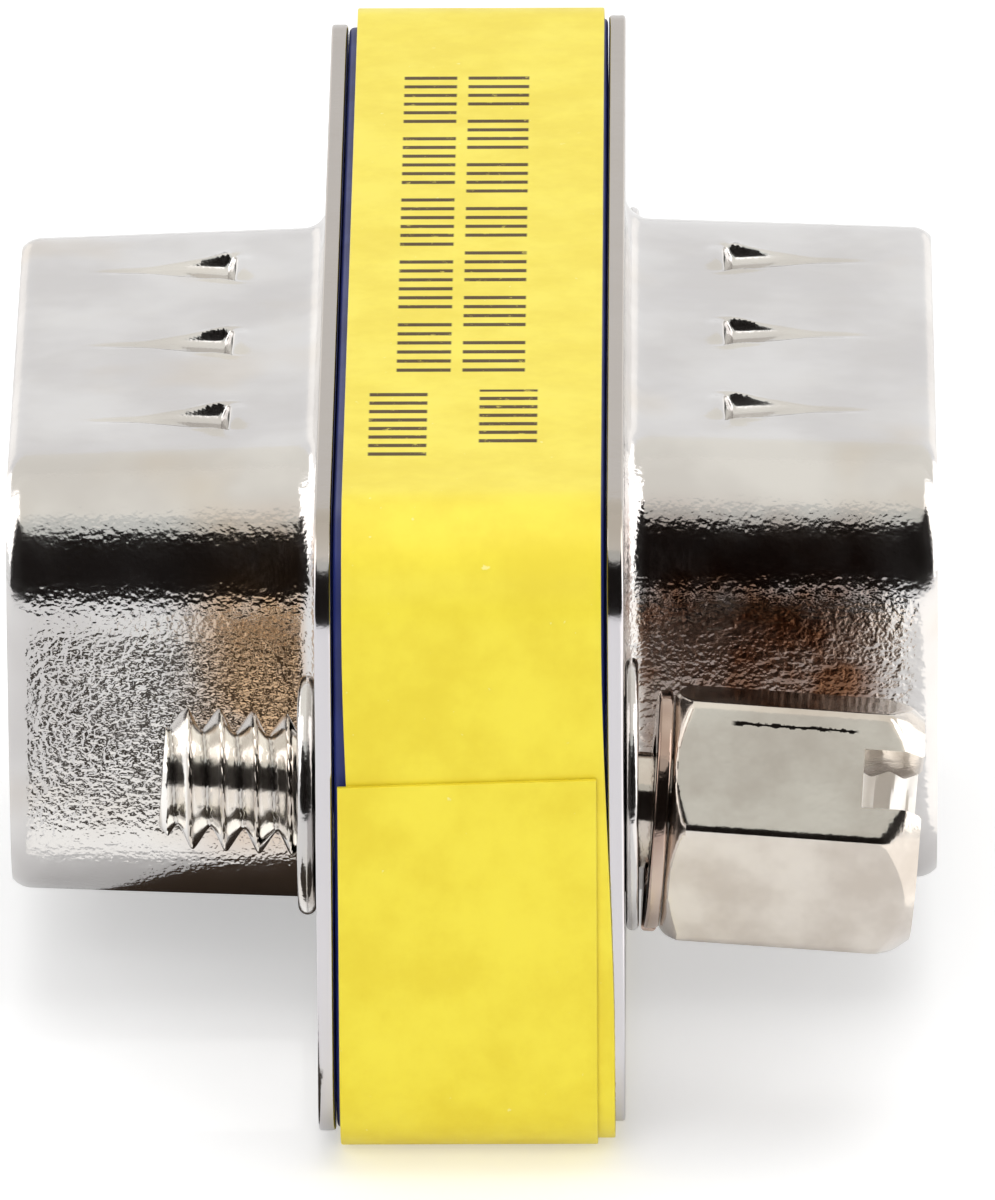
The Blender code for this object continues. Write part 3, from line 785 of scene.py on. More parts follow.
@dataclass(frozen=True)
class VinylTape:
    """Yellow vinyl tape: slightly mottled, softly wrinkled, printed with plain dark bars."""

    colour: tuple = srgb(246, 228, 62)
    deep: tuple = srgb(236, 214, 48)
    ink: tuple = srgb(62, 36, 26)
    scuff: tuple = srgb(252, 244, 170)
    bar_blur: float = 0.05
    end_blur: float = 0.04
    fields: tuple[PrintField, ...] = ()

    def ink_mask(self, s: Shader) -> Socket:
        """How much ink lies at a point: 1 inside the bars of any field, 0 elsewhere.

        A bar is inked where the distance along, taken modulo the pitch, is under the bar's share.

        Args:
            s: the shader that the nodes are added to.

        Returns:
            The mask's socket.
        """
        along, across = s.uv()
        total: object = 0.0
        for part in self.fields:
            start = part.low[0] + part.pitch / 2
            turn = s.math("DIVIDE", s.math("SUBTRACT", along, start), part.pitch)
            half = part.bar / 2
            bars = s.ramp(s.math("PINGPONG", turn, 0.5), half, half - self.bar_blur)
            number = s.math("FLOOR", s.math("ADD", turn, 0.5))
            group = s.math("FRACT", s.math("DIVIDE", number, part.group))
            bars = s.math("MULTIPLY", bars, s.math("GREATER_THAN", group, 0.5 / part.group))
            for value, low, high in zip((along, across), part.low, part.high):
                bars = s.math("MULTIPLY", bars, s.ramp(value, low, low + self.end_blur))
                bars = s.math("MULTIPLY", bars, s.ramp(value, high, high - self.end_blur))
            total = s.math("MAXIMUM", total, bars)
        worn = s.noise(s.place(), 0.22 * MM, 4.0, 0.7)
        return s.math("MULTIPLY", total, s.ramp(worn, 0.28, 0.42, 0.45, 0.95))

    def material(self, name: str) -> Material:
        """Build the tape.

        Args:
            name: the material's name.

        Returns:
            The material.
        """
        s = Shader(name)
        place = s.place()
        clouds = s.noise(place, 1.6 * MM, 5.0, 0.6)
        base = s.mix(s.ramp(clouds, 0.3, 0.7), self.deep, self.colour)
        specks = s.noise(place, 0.16 * MM, 2.0, 0.4)
        base = s.mix(s.ramp(specks, 0.74, 0.80, 0.0, 0.6), base, self.scuff)
        ink = self.ink_mask(s)
        s.give("Base Color", s.mix(ink, base, self.ink))
        s.give("Roughness", s.ramp(clouds, 0.3, 0.7, 0.42, 0.34))
        s.give("Specular IOR Level", s.ramp(ink, 0.0, 1.0, 0.42, 0.08))
        waves = s.bump(s.noise(place, 1.5 * MM, 2.0, 0.5), 1.0, 0.020 * MM)
        skin = s.noise(place, 0.07 * MM, 3.0, 0.6)
        s.give("Normal", s.bump(skin, 1.0, 0.0018 * MM, waves))
        return s.material


@dataclass(frozen=True)
class SolderMask:
    """Green solder mask over the board's weave."""

    colour: tuple = srgb(36, 110, 62)
    shade: tuple = srgb(24, 84, 48)
    weave_scale: float = 700.0

    def material(self, name: str) -> Material:
        """Build the mask.

        Args:
            name: the material's name.

        Returns:
            The material.
        """
        s = Shader(name)
        place = s.place()
        clouds = s.noise(place, 1.2 * MM, 4.0, 0.6)
        s.give("Base Color", s.mix(s.ramp(clouds, 0.3, 0.7), self.shade, self.colour))
        s.give("Roughness", 0.35)
        weave = s.node("ShaderNodeTexWave", wave_type="BANDS", bands_direction="DIAGONAL")
        weave.inputs["Scale"].default_value = self.weave_scale
        s.plug(place, weave.inputs["Vector"])
        s.give("Normal", s.bump(weave.outputs["Fac"], 0.5, 0.004 * MM))
        return s.material


# ---- sizes that several pieces share


@dataclass(frozen=True)
class Layout:
    """The adapter's main sizes, in metres, as in its CAD model."""

    sheet: float = 0.33 * MM
    half_height: float = 4.51 * MM
    half_width: float = 8.79 * MM
    lean: float = 10.0
    draft: float = 2.0
    depth: float = 6.00 * MM
    corner: float = 2.50 * MM
    flange_face: float = 2.92 * MM
    screw_offset: float = 12.495 * MM
    flange_half_length: float = 15.405 * MM
    flange_half_width: float = 6.275 * MM
    flange_corner: float = 2.00 * MM
    low_centre: float = 6.545 * MM
    high_centre: float = 6.725 * MM
    pin_pitch: float = 2.77 * MM
    row_spacing: float = 2.84 * MM
    rivet_hole: float = 1.99 * MM
    rod_reach: float = 5 * MM
    seat: float = 0.02 * MM

    def rivet_rods(self, half: Half, steps: int) -> list[Skin]:
        """Two rods through one half that cut the holes for the rivets.

        Args:
            half: the half.
            steps: number of faces round each rod.

        Returns:
            The rods, in place.
        """
        rods = []
        for y in (-self.screw_offset, self.screw_offset):
            cutter = rod(self.rivet_hole, -self.rod_reach, self.rod_reach, steps)
            rods.append(cutter.moved(along_x(y, self.centre(half))))
        return rods

    def stand_out(self, x: object) -> object:
        """How far the drafted wall stands out from the mouth's outline at a place along X."""
        return (self.flange_face + self.depth - x) * math.tan(math.radians(self.draft))

    def centre(self, half: Half) -> float:
        """Height of a half's middle."""
        return self.high_centre if half is Half.RIGHT else self.low_centre

    def middle(self) -> float:
        """Height of the screws and rivets."""
        return (self.low_centre + self.high_centre) / 2

    def side_matrix(self, half: Half) -> Matrix:
        """Place a half that was built facing +X."""
        turn = 0.0 if half is Half.RIGHT else math.pi
        return Matrix.Translation((0, 0, self.centre(half))) @ Matrix.Rotation(turn, 4, "Z")

    def contacts(self) -> list[tuple[int, float, float]]:
        """The (number, y, z) of each contact: five in the wide row, then four.

        Returns:
            One row for each contact.
        """
        places = []
        for row, count in ((1, 5), (-1, 4)):
            for i in range(count):
                y = (i - (count - 1) / 2) * self.pin_pitch
                places.append((len(places) + 1, y, row * self.row_spacing / 2))
        return places


@dataclass
class Outline:
    """A closed outline in Y and Z with its outward normals, and the rectangle matched to it.

    Args:
        layout: the adapter's main sizes.
        steps: number of steps on each corner.
        along: positions along each long straight, from -1 to 1 of its half length.
        side_steps: number of steps on each short straight.
    """

    layout: Layout
    steps: int
    along: Array
    side_steps: int

    def corners(self, radius: float) -> list[Corner]:
        """Arc centre, first angle and last angle of the D's four corners, wide side up.

        Args:
            radius: the corners' radius.

        Returns:
            The corners, counter-clockwise from the wide side.
        """
        d, lean = self.layout, self.layout.lean
        tilt = math.radians(lean)
        top = d.half_height - radius
        wide = d.half_width - radius / math.tan(math.radians(45) - tilt / 2)
        narrow = d.half_width - 2 * d.half_height * math.tan(tilt)
        narrow -= radius / math.tan(math.radians(45) + tilt / 2)
        return [((wide, top), -lean, 90), ((-wide, top), 90, 180 + lean),
                ((-narrow, -top), 180 + lean, 270), ((narrow, -top), 270, 360 - lean)]

    def box_corners(self, y: float, z: float, radius: float) -> list[Corner]:
        """The same for a rectangle with round corners."""
        y, z = y - radius, z - radius
        return [((y, z), 0, 90), ((-y, z), 90, 180), ((-y, -z), 180, 270), ((y, -z), 270, 360)]

    def trace(self, corners: list[Corner], radius: float) -> tuple[Array, Array]:
        """Points and normals round the outline: each corner's arc, then the straight after it.

        Args:
            corners: arc centre, first angle and last angle of each corner.
            radius: the arcs' radius.

        Returns:
            The points and the normals, as (y, z) rows of equal count.
        """
        points, normals = [], []
        for k, (centre, first, last) in enumerate(corners):
            after = corners[(k + 1) % 4]
            points.append(arc(centre, radius, first, last, self.steps))
            normals.append(arc((0, 0), 1.0, first, last, self.steps))
            start = points[-1][-1]
            end = arc(after[0], radius, after[1], after[1], 0)[0]
            sides = np.linspace(0, 1, self.side_steps + 1)
            share = ((self.along + 1) / 2 if k % 2 == 0 else sides)[1:-1]
            points.append(start + share[:, None] * (end - start))
            normals.append(np.broadcast_to(normals[-1][-1], points[-1].shape))
        return np.concatenate(points), np.concatenate(normals)

    def d_shape(self) -> tuple[Array, Array]:
        """Points and normals of the shell's outer D."""
        return self.trace(self.corners(self.layout.corner), self.layout.corner)

    def box(self, y: float, z: float, radius: float) -> tuple[Array, Array]:
        """Points and normals of a rectangle with round corners, matched to the D."""
        return self.trace(self.box_corners(y, z, radius), radius)


# ---- shells


@dataclass
class Dimples:
    """Grounding dimples: wedge-shaped hollows, deep near the flange, that run out forward."""

    width: float = 1.42 * MM
    length: float = 1.95 * MM
    tail: float = 1.10 * MM
    depth: float = 0.36 * MM
    cliff: float = 0.22 * MM
    start: tuple = (1.90 * MM, 1.74 * MM)
    spacing: float = 4.155 * MM
    blunt: float = 0.05 * MM
    rounding: float = 0.010 * MM
    rim: float = 0.045 * MM
    crease_depth: float = 0.035 * MM
    crease_width: float = 0.10 * MM

    def places(self) -> tuple[float, ...]:
        """Where the dimples sit along a long side."""
        return (-self.spacing, 0.0, self.spacing)

    def hollow(self, run: Array, v: Array, half: Array, grow: float) -> Array:
        """Depth of the wedge, with u from 0 at its deep end to 1 at its tip.

        The depth falls as (1 - u)^1.3 along it, and across it as 1 - (v / half)^5, which gives a
        nearly flat floor between steep walls. A soft-plus rounds the edge, and a smooth step makes
        the steep end.

        Args:
            run: distance of each point from the deep end.
            v: distance from the dimple's middle line.
            half: half width of the wedge there.
            grow: how much larger the wedge is made all round.

        Returns:
            The depth, in metres.
        """
        u = np.clip(run / self.length, 0, 1)
        deep = self.depth * (1 - u) ** 1.3
        pit = deep * (1 - np.minimum(v / half, 3.0) ** 5)
        soft = self.rounding
        hollow = soft * np.logaddexp(0.0, np.clip(pit / soft, -40, 40)) * (deep > 0)
        return soft_step(run + grow, self.cliff) * hollow

    def burr(self, run: Array, v: Array, half: Array) -> Array:
        """Height of the low burr: one bell-shaped bump beside the steep end and one behind it.

        Args:
            run: distance of each point from the deep end.
            v: distance from the dimple's middle line.
            half: half width of the wedge there.

        Returns:
            The height, in metres.
        """
        beside = np.exp(-(((run - 0.30 * MM) / (0.30 * MM)) ** 2)
                        - ((v - half - 0.06 * MM) / (0.07 * MM)) ** 2)
        behind = np.exp(-(((run + 0.12 * MM) / (0.17 * MM)) ** 2) - (v / (0.56 * MM)) ** 4)
        return self.rim * np.maximum(beside, 1.5 * behind)

    def crease(self, run: Array, v: Array) -> Array:
        """Depth of the shallow crease, a bell across, which runs on past the tip and fades out.

        Args:
            run: distance of each point from the deep end.
            v: distance from the dimple's middle line.

        Returns:
            The depth, in metres.
        """
        crease = self.crease_depth * np.exp(-((v / self.crease_width) ** 2))
        crease = crease * soft_step(run - 0.4 * self.length, 0.8 * MM)
        return crease * soft_step(self.length + self.tail - run, 1.2 * MM)

    def sink(self, x: Array, y: Array, start: float, grow: float) -> Array:
        """How far a point of a long side sinks in. The wall's other face has no burr.

        Args:
            x: distance of each point in front of the flange's face.
            y: place of each point along the long side.
            start: where the hollows begin, in front of the flange's face.
            grow: how much larger they are made all round, for the wall's other face.

        Returns:
            The depth, in metres.
        """
        total = np.zeros(np.broadcast(x, y).shape)
        run = x - start
        for centre in self.places():
            v = np.abs(y - centre)
            half = (self.width / 2) * (1 - np.clip(run / self.length, 0, 1)) + self.blunt + grow
            burr = self.burr(run, v, half) * (grow == 0)
            total += self.hollow(run, v, half, grow) - burr + self.crease(run, v)
        return total


@dataclass
class Shell:
    """One drawn shell: flange, bend, drafted wall with dimples and a mouth that turns in."""

    half: Half
    layout: Layout = field(default_factory=Layout)
    dimples: Dimples = field(default_factory=Dimples)
    bend: float = 0.50 * MM
    mouth: float = 0.50 * MM
    mouth_turn: float = 50.0
    edge: float = 0.06 * MM
    ring_step: float = 0.3 * MM

    def name(self) -> str:
        """The CAD node that this shell stands for."""
        return f"{self.half.name.lower()}_shell"

    def dimple_start(self) -> float:
        """Where this half's dimples begin: the two halves were pressed a little apart."""
        return self.dimples.start[0 if self.half is Half.RIGHT else 1]

    def outline(self) -> Outline:
        """The D with close points at the dimples.

        Returns:
            The outline.
        """
        reach = 6.0 * MM
        dense = [(c - 0.90 * MM, c + 0.90 * MM, 0.036 * MM) for c in self.dimples.places()]
        along = close_samples(-reach, reach, self.ring_step, dense) / reach
        return Outline(self.layout, 20, along, 18)

    def profile(self) -> tuple[Array, Array]:
        """The wall's section, as rings that each follow the D or the flange's rectangle.

        Returns:
            One row of x, offset from the D, share of the rectangle and its inset for each ring,
            and a row of the wall's face: 1 outside, -1 inside, 2 on the cut rim, 0 elsewhere.
        """
        d = self.layout
        face, sheet, bend, edge = d.flange_face, d.sheet, self.bend, self.edge
        back, start = face - sheet, face + self.dimple_start()
        root = d.stand_out(face + bend) + bend
        turn_in = face + d.depth - self.mouth * math.sin(math.radians(self.mouth_turn))
        reach = self.dimples.length + self.dimples.tail
        dense = [(start - 0.40 * MM, start + 0.40 * MM, 0.035 * MM),
                 (start + 0.40 * MM, start + reach, 0.08 * MM)]
        low, high = face + bend + 0.02 * MM, turn_in - 0.02 * MM
        wall = close_samples(low, high, self.ring_step, dense)
        rings, sides = [], []

        def add(x: Array, offset: Array, share: Array, inset: Array, side: int) -> None:
            """Add rings in one go.

            Args:
                x: place of each ring.
                offset: its offset from the D.
                share: its share of the rectangle.
                inset: the rectangle's inset.
                side: the wall's face.
            """
            block = np.stack(np.broadcast_arrays(x, offset, share, inset), -1).reshape(-1, 4)
            rings.append(block)
            sides.append(np.full(len(block), side))

        for rim in (arc((edge, back + edge), edge, 270, 180, 4),
                    arc((edge, face - edge), edge, 180, 90, 4)):
            add(rim[:, 1], 0.0, 1.0, rim[:, 0], 2)
        add(face, root, np.array([0.96, 0.5, 0.04]), edge, 0)
        turn = arc((root, face + bend), bend, 270, 180, 10)
        add(turn[:, 1], turn[:, 0], 0.0, 0.0, 0)
        add(wall, d.stand_out(wall), 0.0, 0.0, 1)
        middle = (d.stand_out(turn_in) - self.mouth, turn_in)
        lip = arc(middle, self.mouth, 0, self.mouth_turn, 10)
        add(lip[:, 1], lip[:, 0], 0.0, 0.0, 0)
        lip = arc(middle, self.mouth - sheet, self.mouth_turn, 0, 5)
        add(lip[:, 1], lip[:, 0], 0.0, 0.0, 0)
        add(wall[::-2], d.stand_out(wall[::-2]) - sheet, 0.0, 0.0, -1)
        back_turn = arc((root, face + bend), bend + sheet, 180, 270, 10)
        add(back_turn[:, 1], back_turn[:, 0], 0.0, 0.0, 0)
        add(back, root, np.array([0.04, 0.5, 0.96]), edge, 0)
        return np.concatenate(rings), np.concatenate(sides)

    def skin(self) -> Skin:
        """The whole shell as rings round the D.

        A ring's point is D point + normal * offset, mixed with the matched rectangle point by the
        ring's share. On the long sides the wall then sinks by the dimples' depth.

        Returns:
            The closed skin, in place, graded by how much the sheet was drawn and where it was cut.
        """
        outline = self.outline()
        base, normal = outline.d_shape()
        d = self.layout
        box, box_normal = outline.box(d.flange_half_length, d.flange_half_width, d.flange_corner)
        rings, sides = self.profile()
        x, offset, share, inset = (rings[:, k, None, None] for k in range(4))
        yz = (1 - share) * (base + normal * offset) + share * (box - box_normal * inset)
        flat = np.abs(normal[:, 1]) > 0.999
        place, start = x[..., 0] - d.flange_face, self.dimple_start()
        depth_out = self.dimples.sink(place, yz[..., 0], start, 0.0)
        depth_in = self.dimples.sink(place, yz[..., 0], start, 0.15 * MM)
        side = sides[:, None]
        sink = np.where(side == 1, depth_out, np.where(side == -1, depth_in, 0.0)) * flat
        yz = yz - normal * sink[..., None]
        points = np.concatenate((np.broadcast_to(x, yz.shape[:2] + (1,)), yz), -1)
        quads = grid_faces(len(rings), len(base), True, True)
        formed = self.formed(normal[None, :, 1], place, share[..., 0])
        cut = np.where(side == 2, 1.0, 0.0) + 0 * formed
        grades = {"formed": np.clip(formed, 0, 1).ravel(), "cut": cut.ravel()}
        skin = Skin(points.reshape(-1, 3), quads, grades=grades)
        return skin.moved(d.side_matrix(self.half)).outward()

    def formed(self, up: Array, place: Array, share: Array) -> Array:
        """How much the sheet was drawn at a point, from 0 to 1.

        It was drawn most on the flanks, where the normal's height is near -0.14, less round the
        corners, hardly at all on the long flat sides, and little near the mouth.

        Args:
            up: height of the outline's normal.
            place: distance in front of the flange's face.
            share: share of the flange's rectangle; the flange itself stays nearly flat.

        Returns:
            The grade.
        """
        corner = soft_step(0.98 - np.abs(up), 0.10)
        flank = np.exp(-(((up + 0.14) / 0.34) ** 2))
        near_mouth = soft_step(place - self.layout.depth + 0.65 * MM, 0.4 * MM)
        drawn = (0.015 + 0.30 * corner + 0.68 * flank) * (1 - 0.7 * near_mouth)
        return np.where(share > 0, 0.04, drawn)

    def build(self, material: Material) -> None:
        """Make the shell, cut the flange's holes and dress it.

        Args:
            material: its finish.
        """
        holes = joined(self.layout.rivet_rods(self.half, 72)).mesh("holes")
        mesh = carved(self.skin().mesh(self.name()), holes)
        name = f"{self.half.name.lower()}_drawn_shell"
        add_piece(name, mesh, material, "adapter", [self.name()])


def joined(parts: Sequence[Skin]) -> Skin:
    """Several separate skins as one.

    Args:
        parts: the skins.

    Returns:
        One skin of them all.
    """
    points, quads, triangles, count = [], [], [], 0
    for part in parts:
        points.append(part.points)
        quads.append(part.quads + count)
        triangles.append(part.triangles + count)
        count += len(part.points)
    return Skin(np.concatenate(points), np.concatenate(quads), np.concatenate(triangles))


# ---- insulators, board and contacts


@dataclass
class Insulator:
    """A moulded block with a D-shaped nose inside its shell and nine contact holes."""

    half: Half
    layout: Layout = field(default_factory=Layout)
    proud: float = -0.06 * MM
    nose: float = 1.20 * MM
    nose_edge: float = 0.18 * MM
    nose_rim: float = 0.35 * MM
    edge: float = 0.10 * MM
    board: tuple = (8.54 * MM, 4.42 * MM)
    play: float = 0.14 * MM
    pocket_floor: float = 0.52 * MM
    hole: float = 0.525 * MM
    hole_reach: float = 9 * MM

    def skin(self) -> Skin:
        """The block as rings from its board pocket round to its nose, in place.

        Returns:
            The closed skin.
        """
        d = self.layout
        outline = Outline(d, 12, np.linspace(-1, 1, 41), 12)
        base, normal = outline.d_shape()
        sizes = (d.flange_half_length, d.flange_half_width, d.flange_corner)
        block, block_normal = outline.box(*(size + self.proud for size in sizes))
        pocket, _ = outline.box(self.board[0] + self.play, self.board[1] + self.play, self.play)
        front, top = d.flange_face - d.sheet - d.seat, d.flange_face + self.nose
        inside = -d.sheet - 0.05 * MM
        edge, nose_edge = self.edge, self.nose_edge
        rings = [(self.pocket_floor, pocket), (0.05 * MM, pocket), (d.seat, pocket)]
        for turn in (arc((edge, d.seat + edge), edge, 270, 180, 4),
                     arc((edge, front - edge), edge, 180, 90, 4)):
            rings += [(x, block - block_normal * inset) for inset, x in turn]
        rings.append((front, base + normal * inside))
        for offset, x in arc((inside - nose_edge, top - nose_edge), nose_edge, 0, 90, 6):
            rings.append((x, base + normal * offset))
        rings.append((top, base + normal * (inside - self.nose_rim)))
        rows = np.stack([np.column_stack((np.full(len(yz), x), yz)) for x, yz in rings])
        return capped_tube(rows).moved(d.side_matrix(self.half)).outward()

    def holes(self) -> Mesh:
        """Rods for the contacts and the two rivets.

        Returns:
            The rods as one mesh.
        """
        d = self.layout
        parts = []
        for _, y, z in d.contacts():
            place = d.side_matrix(self.half) @ along_x(y, z)
            parts.append(rod(self.hole, 0, self.hole_reach, 32).moved(place))
        return joined(parts + d.rivet_rods(self.half, 48)).mesh("holes")

    def build(self, material: Material) -> None:
        """Make the insulator and dress it.

        Args:
            material: its finish.
        """
        side = self.half.name.lower()
        node = f"{side}_insulator"
        mesh = carved(self.skin().mesh(node), self.holes())
        add_piece(f"{side}_moulding", mesh, material, "adapter", [node])


@dataclass
class Contacts:
    """The nine turned contacts of one half."""

    half: Half
    layout: Layout = field(default_factory=Layout)
    radius: float = 0.50 * MM
    tail: float = 0.33 * MM
    reach: float = 5.30 * MM
    root: float = 0.54 * MM
    tail_bevel: float = 0.03 * MM
    shoulder_bevel: float = 0.04 * MM

    def profile(self) -> Array:
        """(radius, height) from the root on the board to the round nose.

        Returns:
            The open profile, which ends on the axis.
        """
        tip = self.layout.flange_face + self.reach
        shoulder = self.root + (self.layout.flange_face - self.root) / 3
        nose = arc((0, tip - self.radius), self.radius, 0, 90, 12)
        small, big = self.tail_bevel, self.shoulder_bevel
        tail = [(0, self.root), (self.tail - small, self.root), (self.tail, self.root + small)]
        step = [(self.tail, shoulder), (self.radius - big, shoulder), (self.radius, shoulder + big)]
        return np.concatenate((tail, step, nose))

    def build(self, material: Material) -> None:
        """Make and dress each contact.

        Args:
            material: their finish.
        """
        side = self.half.name.lower()
        for number, y, z in self.layout.contacts():
            place = self.layout.side_matrix(self.half) @ along_x(y, z)
            skin = turned(self.profile(), 36, False).moved(place)
            name = f"{side}_contact_{number}"
            mesh = skin.outward().mesh(name)
            add_piece(name, mesh, material, "adapter", [f"{side}_pin_{number}"])


@dataclass
class Board:
    """The board between the contacts, which keeps its CAD form."""

    node: str = "circuit_board"

    def build(self, material: Material) -> None:
        """Dress the CAD node.

        Args:
            material: its finish.
        """
        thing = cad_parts[self.node]
        thing.data.materials.clear()
        thing.data.materials.append(material)
        LOG.info("%s: CAD node kept", self.node)


# ---- screws, washers and rivets


@dataclass
class Fastener:
    """What shares a jack screw's place: its leaning axis and the sizes along it."""

    end: End
    layout: Layout = field(default_factory=Layout)
    lean: float = 4.5
    sag: float = 0.06 * MM
    head: float = 0.25 * MM
    washer_inner: float = 1.40 * MM
    washer_width: float = 0.90 * MM
    washer_thickness: float = 0.28 * MM
    washer_rise: float = 0.04 * MM

    def axis(self) -> Matrix:
        """The screw's own frame, with Z along it towards its hex post.

        Returns:
            The frame's matrix.
        """
        y = self.end.value * self.layout.screw_offset
        place = Matrix.Translation((0, y, self.layout.middle() - self.sag))
        return place @ Matrix.Rotation(math.radians(90 + self.lean), 4, "Y")

    def washer_start(self) -> float:
        """Where the leaning washer begins along the screw, clear of the rivet's head.

        Returns:
            The place, in metres.
        """
        tilt = (self.washer_inner + self.washer_width) * math.sin(math.radians(self.lean))
        top = self.layout.flange_face + 2 * self.layout.seat + self.head
        return (top + tilt) / math.cos(math.radians(self.lean))

    def hex_start(self) -> float:
        """Where the hex post begins along the screw."""
        return self.washer_start() + self.washer_thickness + self.washer_rise + self.layout.seat


@dataclass
class RowStack:
    """Rows of a turned surface, added one block after another.

    Args:
        columns: number of points in each row.
    """

    columns: int
    radii: list[Array] = field(default_factory=list)
    heights: list[Array] = field(default_factory=list)
    grooves: list[Array] = field(default_factory=list)

    def add(self, radius: object, height: object, groove: object = 0.0) -> None:
        """Add rows; radius, height and groove broadcast to (row, column).

        Args:
            radius: distance from the axis.
            height: place along it.
            groove: how deep the thread is cut, from 0 to 1.
        """
        r, h = np.broadcast_arrays(np.asarray(radius, float), np.asarray(height, float))
        shape = (h.shape[0], self.columns)
        for kept, values in ((self.radii, r), (self.heights, h), (self.grooves, groove)):
            kept.append(np.broadcast_to(values, shape))

    def whole(self) -> tuple[Array, Array, Array]:
        """Every row so far.

        Returns:
            The radii, the heights and the grooves.
        """
        return tuple(np.concatenate(kept) for kept in (self.radii, self.heights, self.grooves))


@dataclass
class JackScrew(Fastener):
    """A jack screw: rolled stud, shank and a slotted, tapped hex post."""

    crest: float = 1.36 * MM
    pitch: float = 0.635 * MM
    groove: float = 0.45 * MM
    thread_turn: float = -125.0
    stud: float = 2.95 * MM
    tip_chamfer: float = 0.40 * MM
    shank: float = 1.10 * MM
    flats: float = 4.60 * MM
    length: float = 4.76 * MM
    chamfer: float = 0.33 * MM
    end_chamfer: float = 0.70 * MM
    hex_turn: float = 16.0
    slot_width: float = 1.20 * MM
    slot_depth: float = 1.15 * MM
    bore: float = 1.15 * MM
    bore_floor: float = 0.66 * MM
    tap_depth: float = 0.26 * MM
    countersink: float = 0.30 * MM
    slot_flare: float = 0.05 * MM
    stud_rows: int = 116
    hole_rows: int = 78
    score_place: tuple = (-0.94 * MM, 6.01 * MM)

    def angles(self) -> Array:
        """Angles round the axis, closer together at the hex's corners.

        Returns:
            The angles, rising, over one turn.
        """
        corners = [self.hex_turn + 60 * k for k in range(7)]
        dense = [(c - 3.0, c + 3.0, 0.75) for c in corners]
        around = close_samples(corners[0], corners[-1], 2.4, dense)
        return np.radians(around[:-1])

    def tooth(self, height: Array, angle: Array) -> Array:
        """Groove of a right-hand helix: 0 at the crest and 1 at the root along each pitch.

        The phase is height / pitch less the turn of the angle; the flanks rise in straight lines
        between a narrow crest and root, and a cosine rounds both.

        Args:
            height: place along the screw.
            angle: angle round it.

        Returns:
            The groove's share of its full depth.
        """
        turn = (angle - math.radians(self.thread_turn)) / (2 * np.pi)
        rise = np.abs(2 * np.mod(height / self.pitch - turn, 1.0) - 1)
        share = np.clip((rise - 0.05) / 0.88, 0, 1)
        return 0.8 * share + 0.2 * (0.5 - 0.5 * np.cos(np.pi * share))

    def hex_radius(self, angle: Array) -> Array:
        """Distance to the hexagon's flats, with its corners rounded a little.

        In each sixth of a turn it is half the flats' distance over the cosine of the angle from
        the flat's middle.

        Args:
            angle: angles round the axis.

        Returns:
            The distances, in metres.
        """
        sector = np.mod(angle - math.radians(self.hex_turn), np.pi / 3) - np.pi / 6
        sharp = self.flats / 2 / np.cos(sector)
        return soft_least(sharp, np.full_like(sharp, self.flats / math.sqrt(3) * 0.992), 0.05 * MM)

    def tip(self) -> float:
        """Where the stud's tip lies along the screw."""
        return -(self.layout.flange_face + self.stud) / math.cos(math.radians(self.lean))

    def mouth(self) -> float:
        """Radius of the hole's countersunk mouth."""
        return self.bore + self.countersink

    def add_stud(self, rows: RowStack, a: Array) -> None:
        """Add the flat tip, the thread with its turned end, and the shank.

        Args:
            rows: where the rows go.
            a: angles round the axis.
        """
        tip = self.tip()
        end = tip + self.stud
        h = column(np.linspace(tip, end, self.stud_rows))
        bite = self.groove * self.tooth(h, a) * soft_step(end - h, 0.35 * self.pitch)
        cone = self.crest - np.maximum(0, self.tip_chamfer - (h - tip))
        body = soft_least(self.crest - bite, cone + 0 * a, 0.03 * MM)
        rows.add(body[:1] * column((0.25, 0.7, 0.96)), tip)
        rows.add(body, h, bite / self.groove)
        rows.add(column((self.crest - 0.06 * MM, self.shank, self.shank)),
                 end + column((0.04, 0.16, 0.22)) * MM)
        low = self.hex_start()
        rows.add(self.shank, column(np.linspace(end + 0.4 * MM, low - 0.03 * MM, 6)))
        rows.add(column((self.shank, self.shank + 0.05 * MM, 1.9 * MM)), low)

    def add_post(self, rows: RowStack, a: Array) -> None:
        """Add the hex post's sides, cut by a cone at each end, and its end face.

        Args:
            rows: where the rows go.
            a: angles round the axis.
        """
        low = self.hex_start()
        high = low + self.length
        corner = self.flats / math.sqrt(3)
        foot, face = self.flats / 2 * 0.96, self.flats / 2 * 0.92
        inset = MM * np.array(
            [0.0, 0.02, 0.05, 0.09, 0.13, 0.18, 0.24, 0.31, 0.38, 0.46, 0.55, 0.65, 0.78])
        flat = np.linspace(low + 1.0 * MM, high - 1.0 * MM, 8)
        side = column(np.concatenate((low + inset, flat, (high - inset)[::-1])))
        cones = np.minimum(foot + (side - low) / self.chamfer * (corner - foot),
                           face + (high - side) / self.end_chamfer * (corner - face))
        hexagon = np.broadcast_to(self.hex_radius(a)[None, :], (len(side), len(a)))
        rows.add(soft_least(hexagon, cones + 0 * a, 0.04 * MM), side)
        mouth = self.mouth()
        rows.add(column((face - 0.05 * MM, (face + mouth) / 2, mouth + 0.04 * MM)), high)

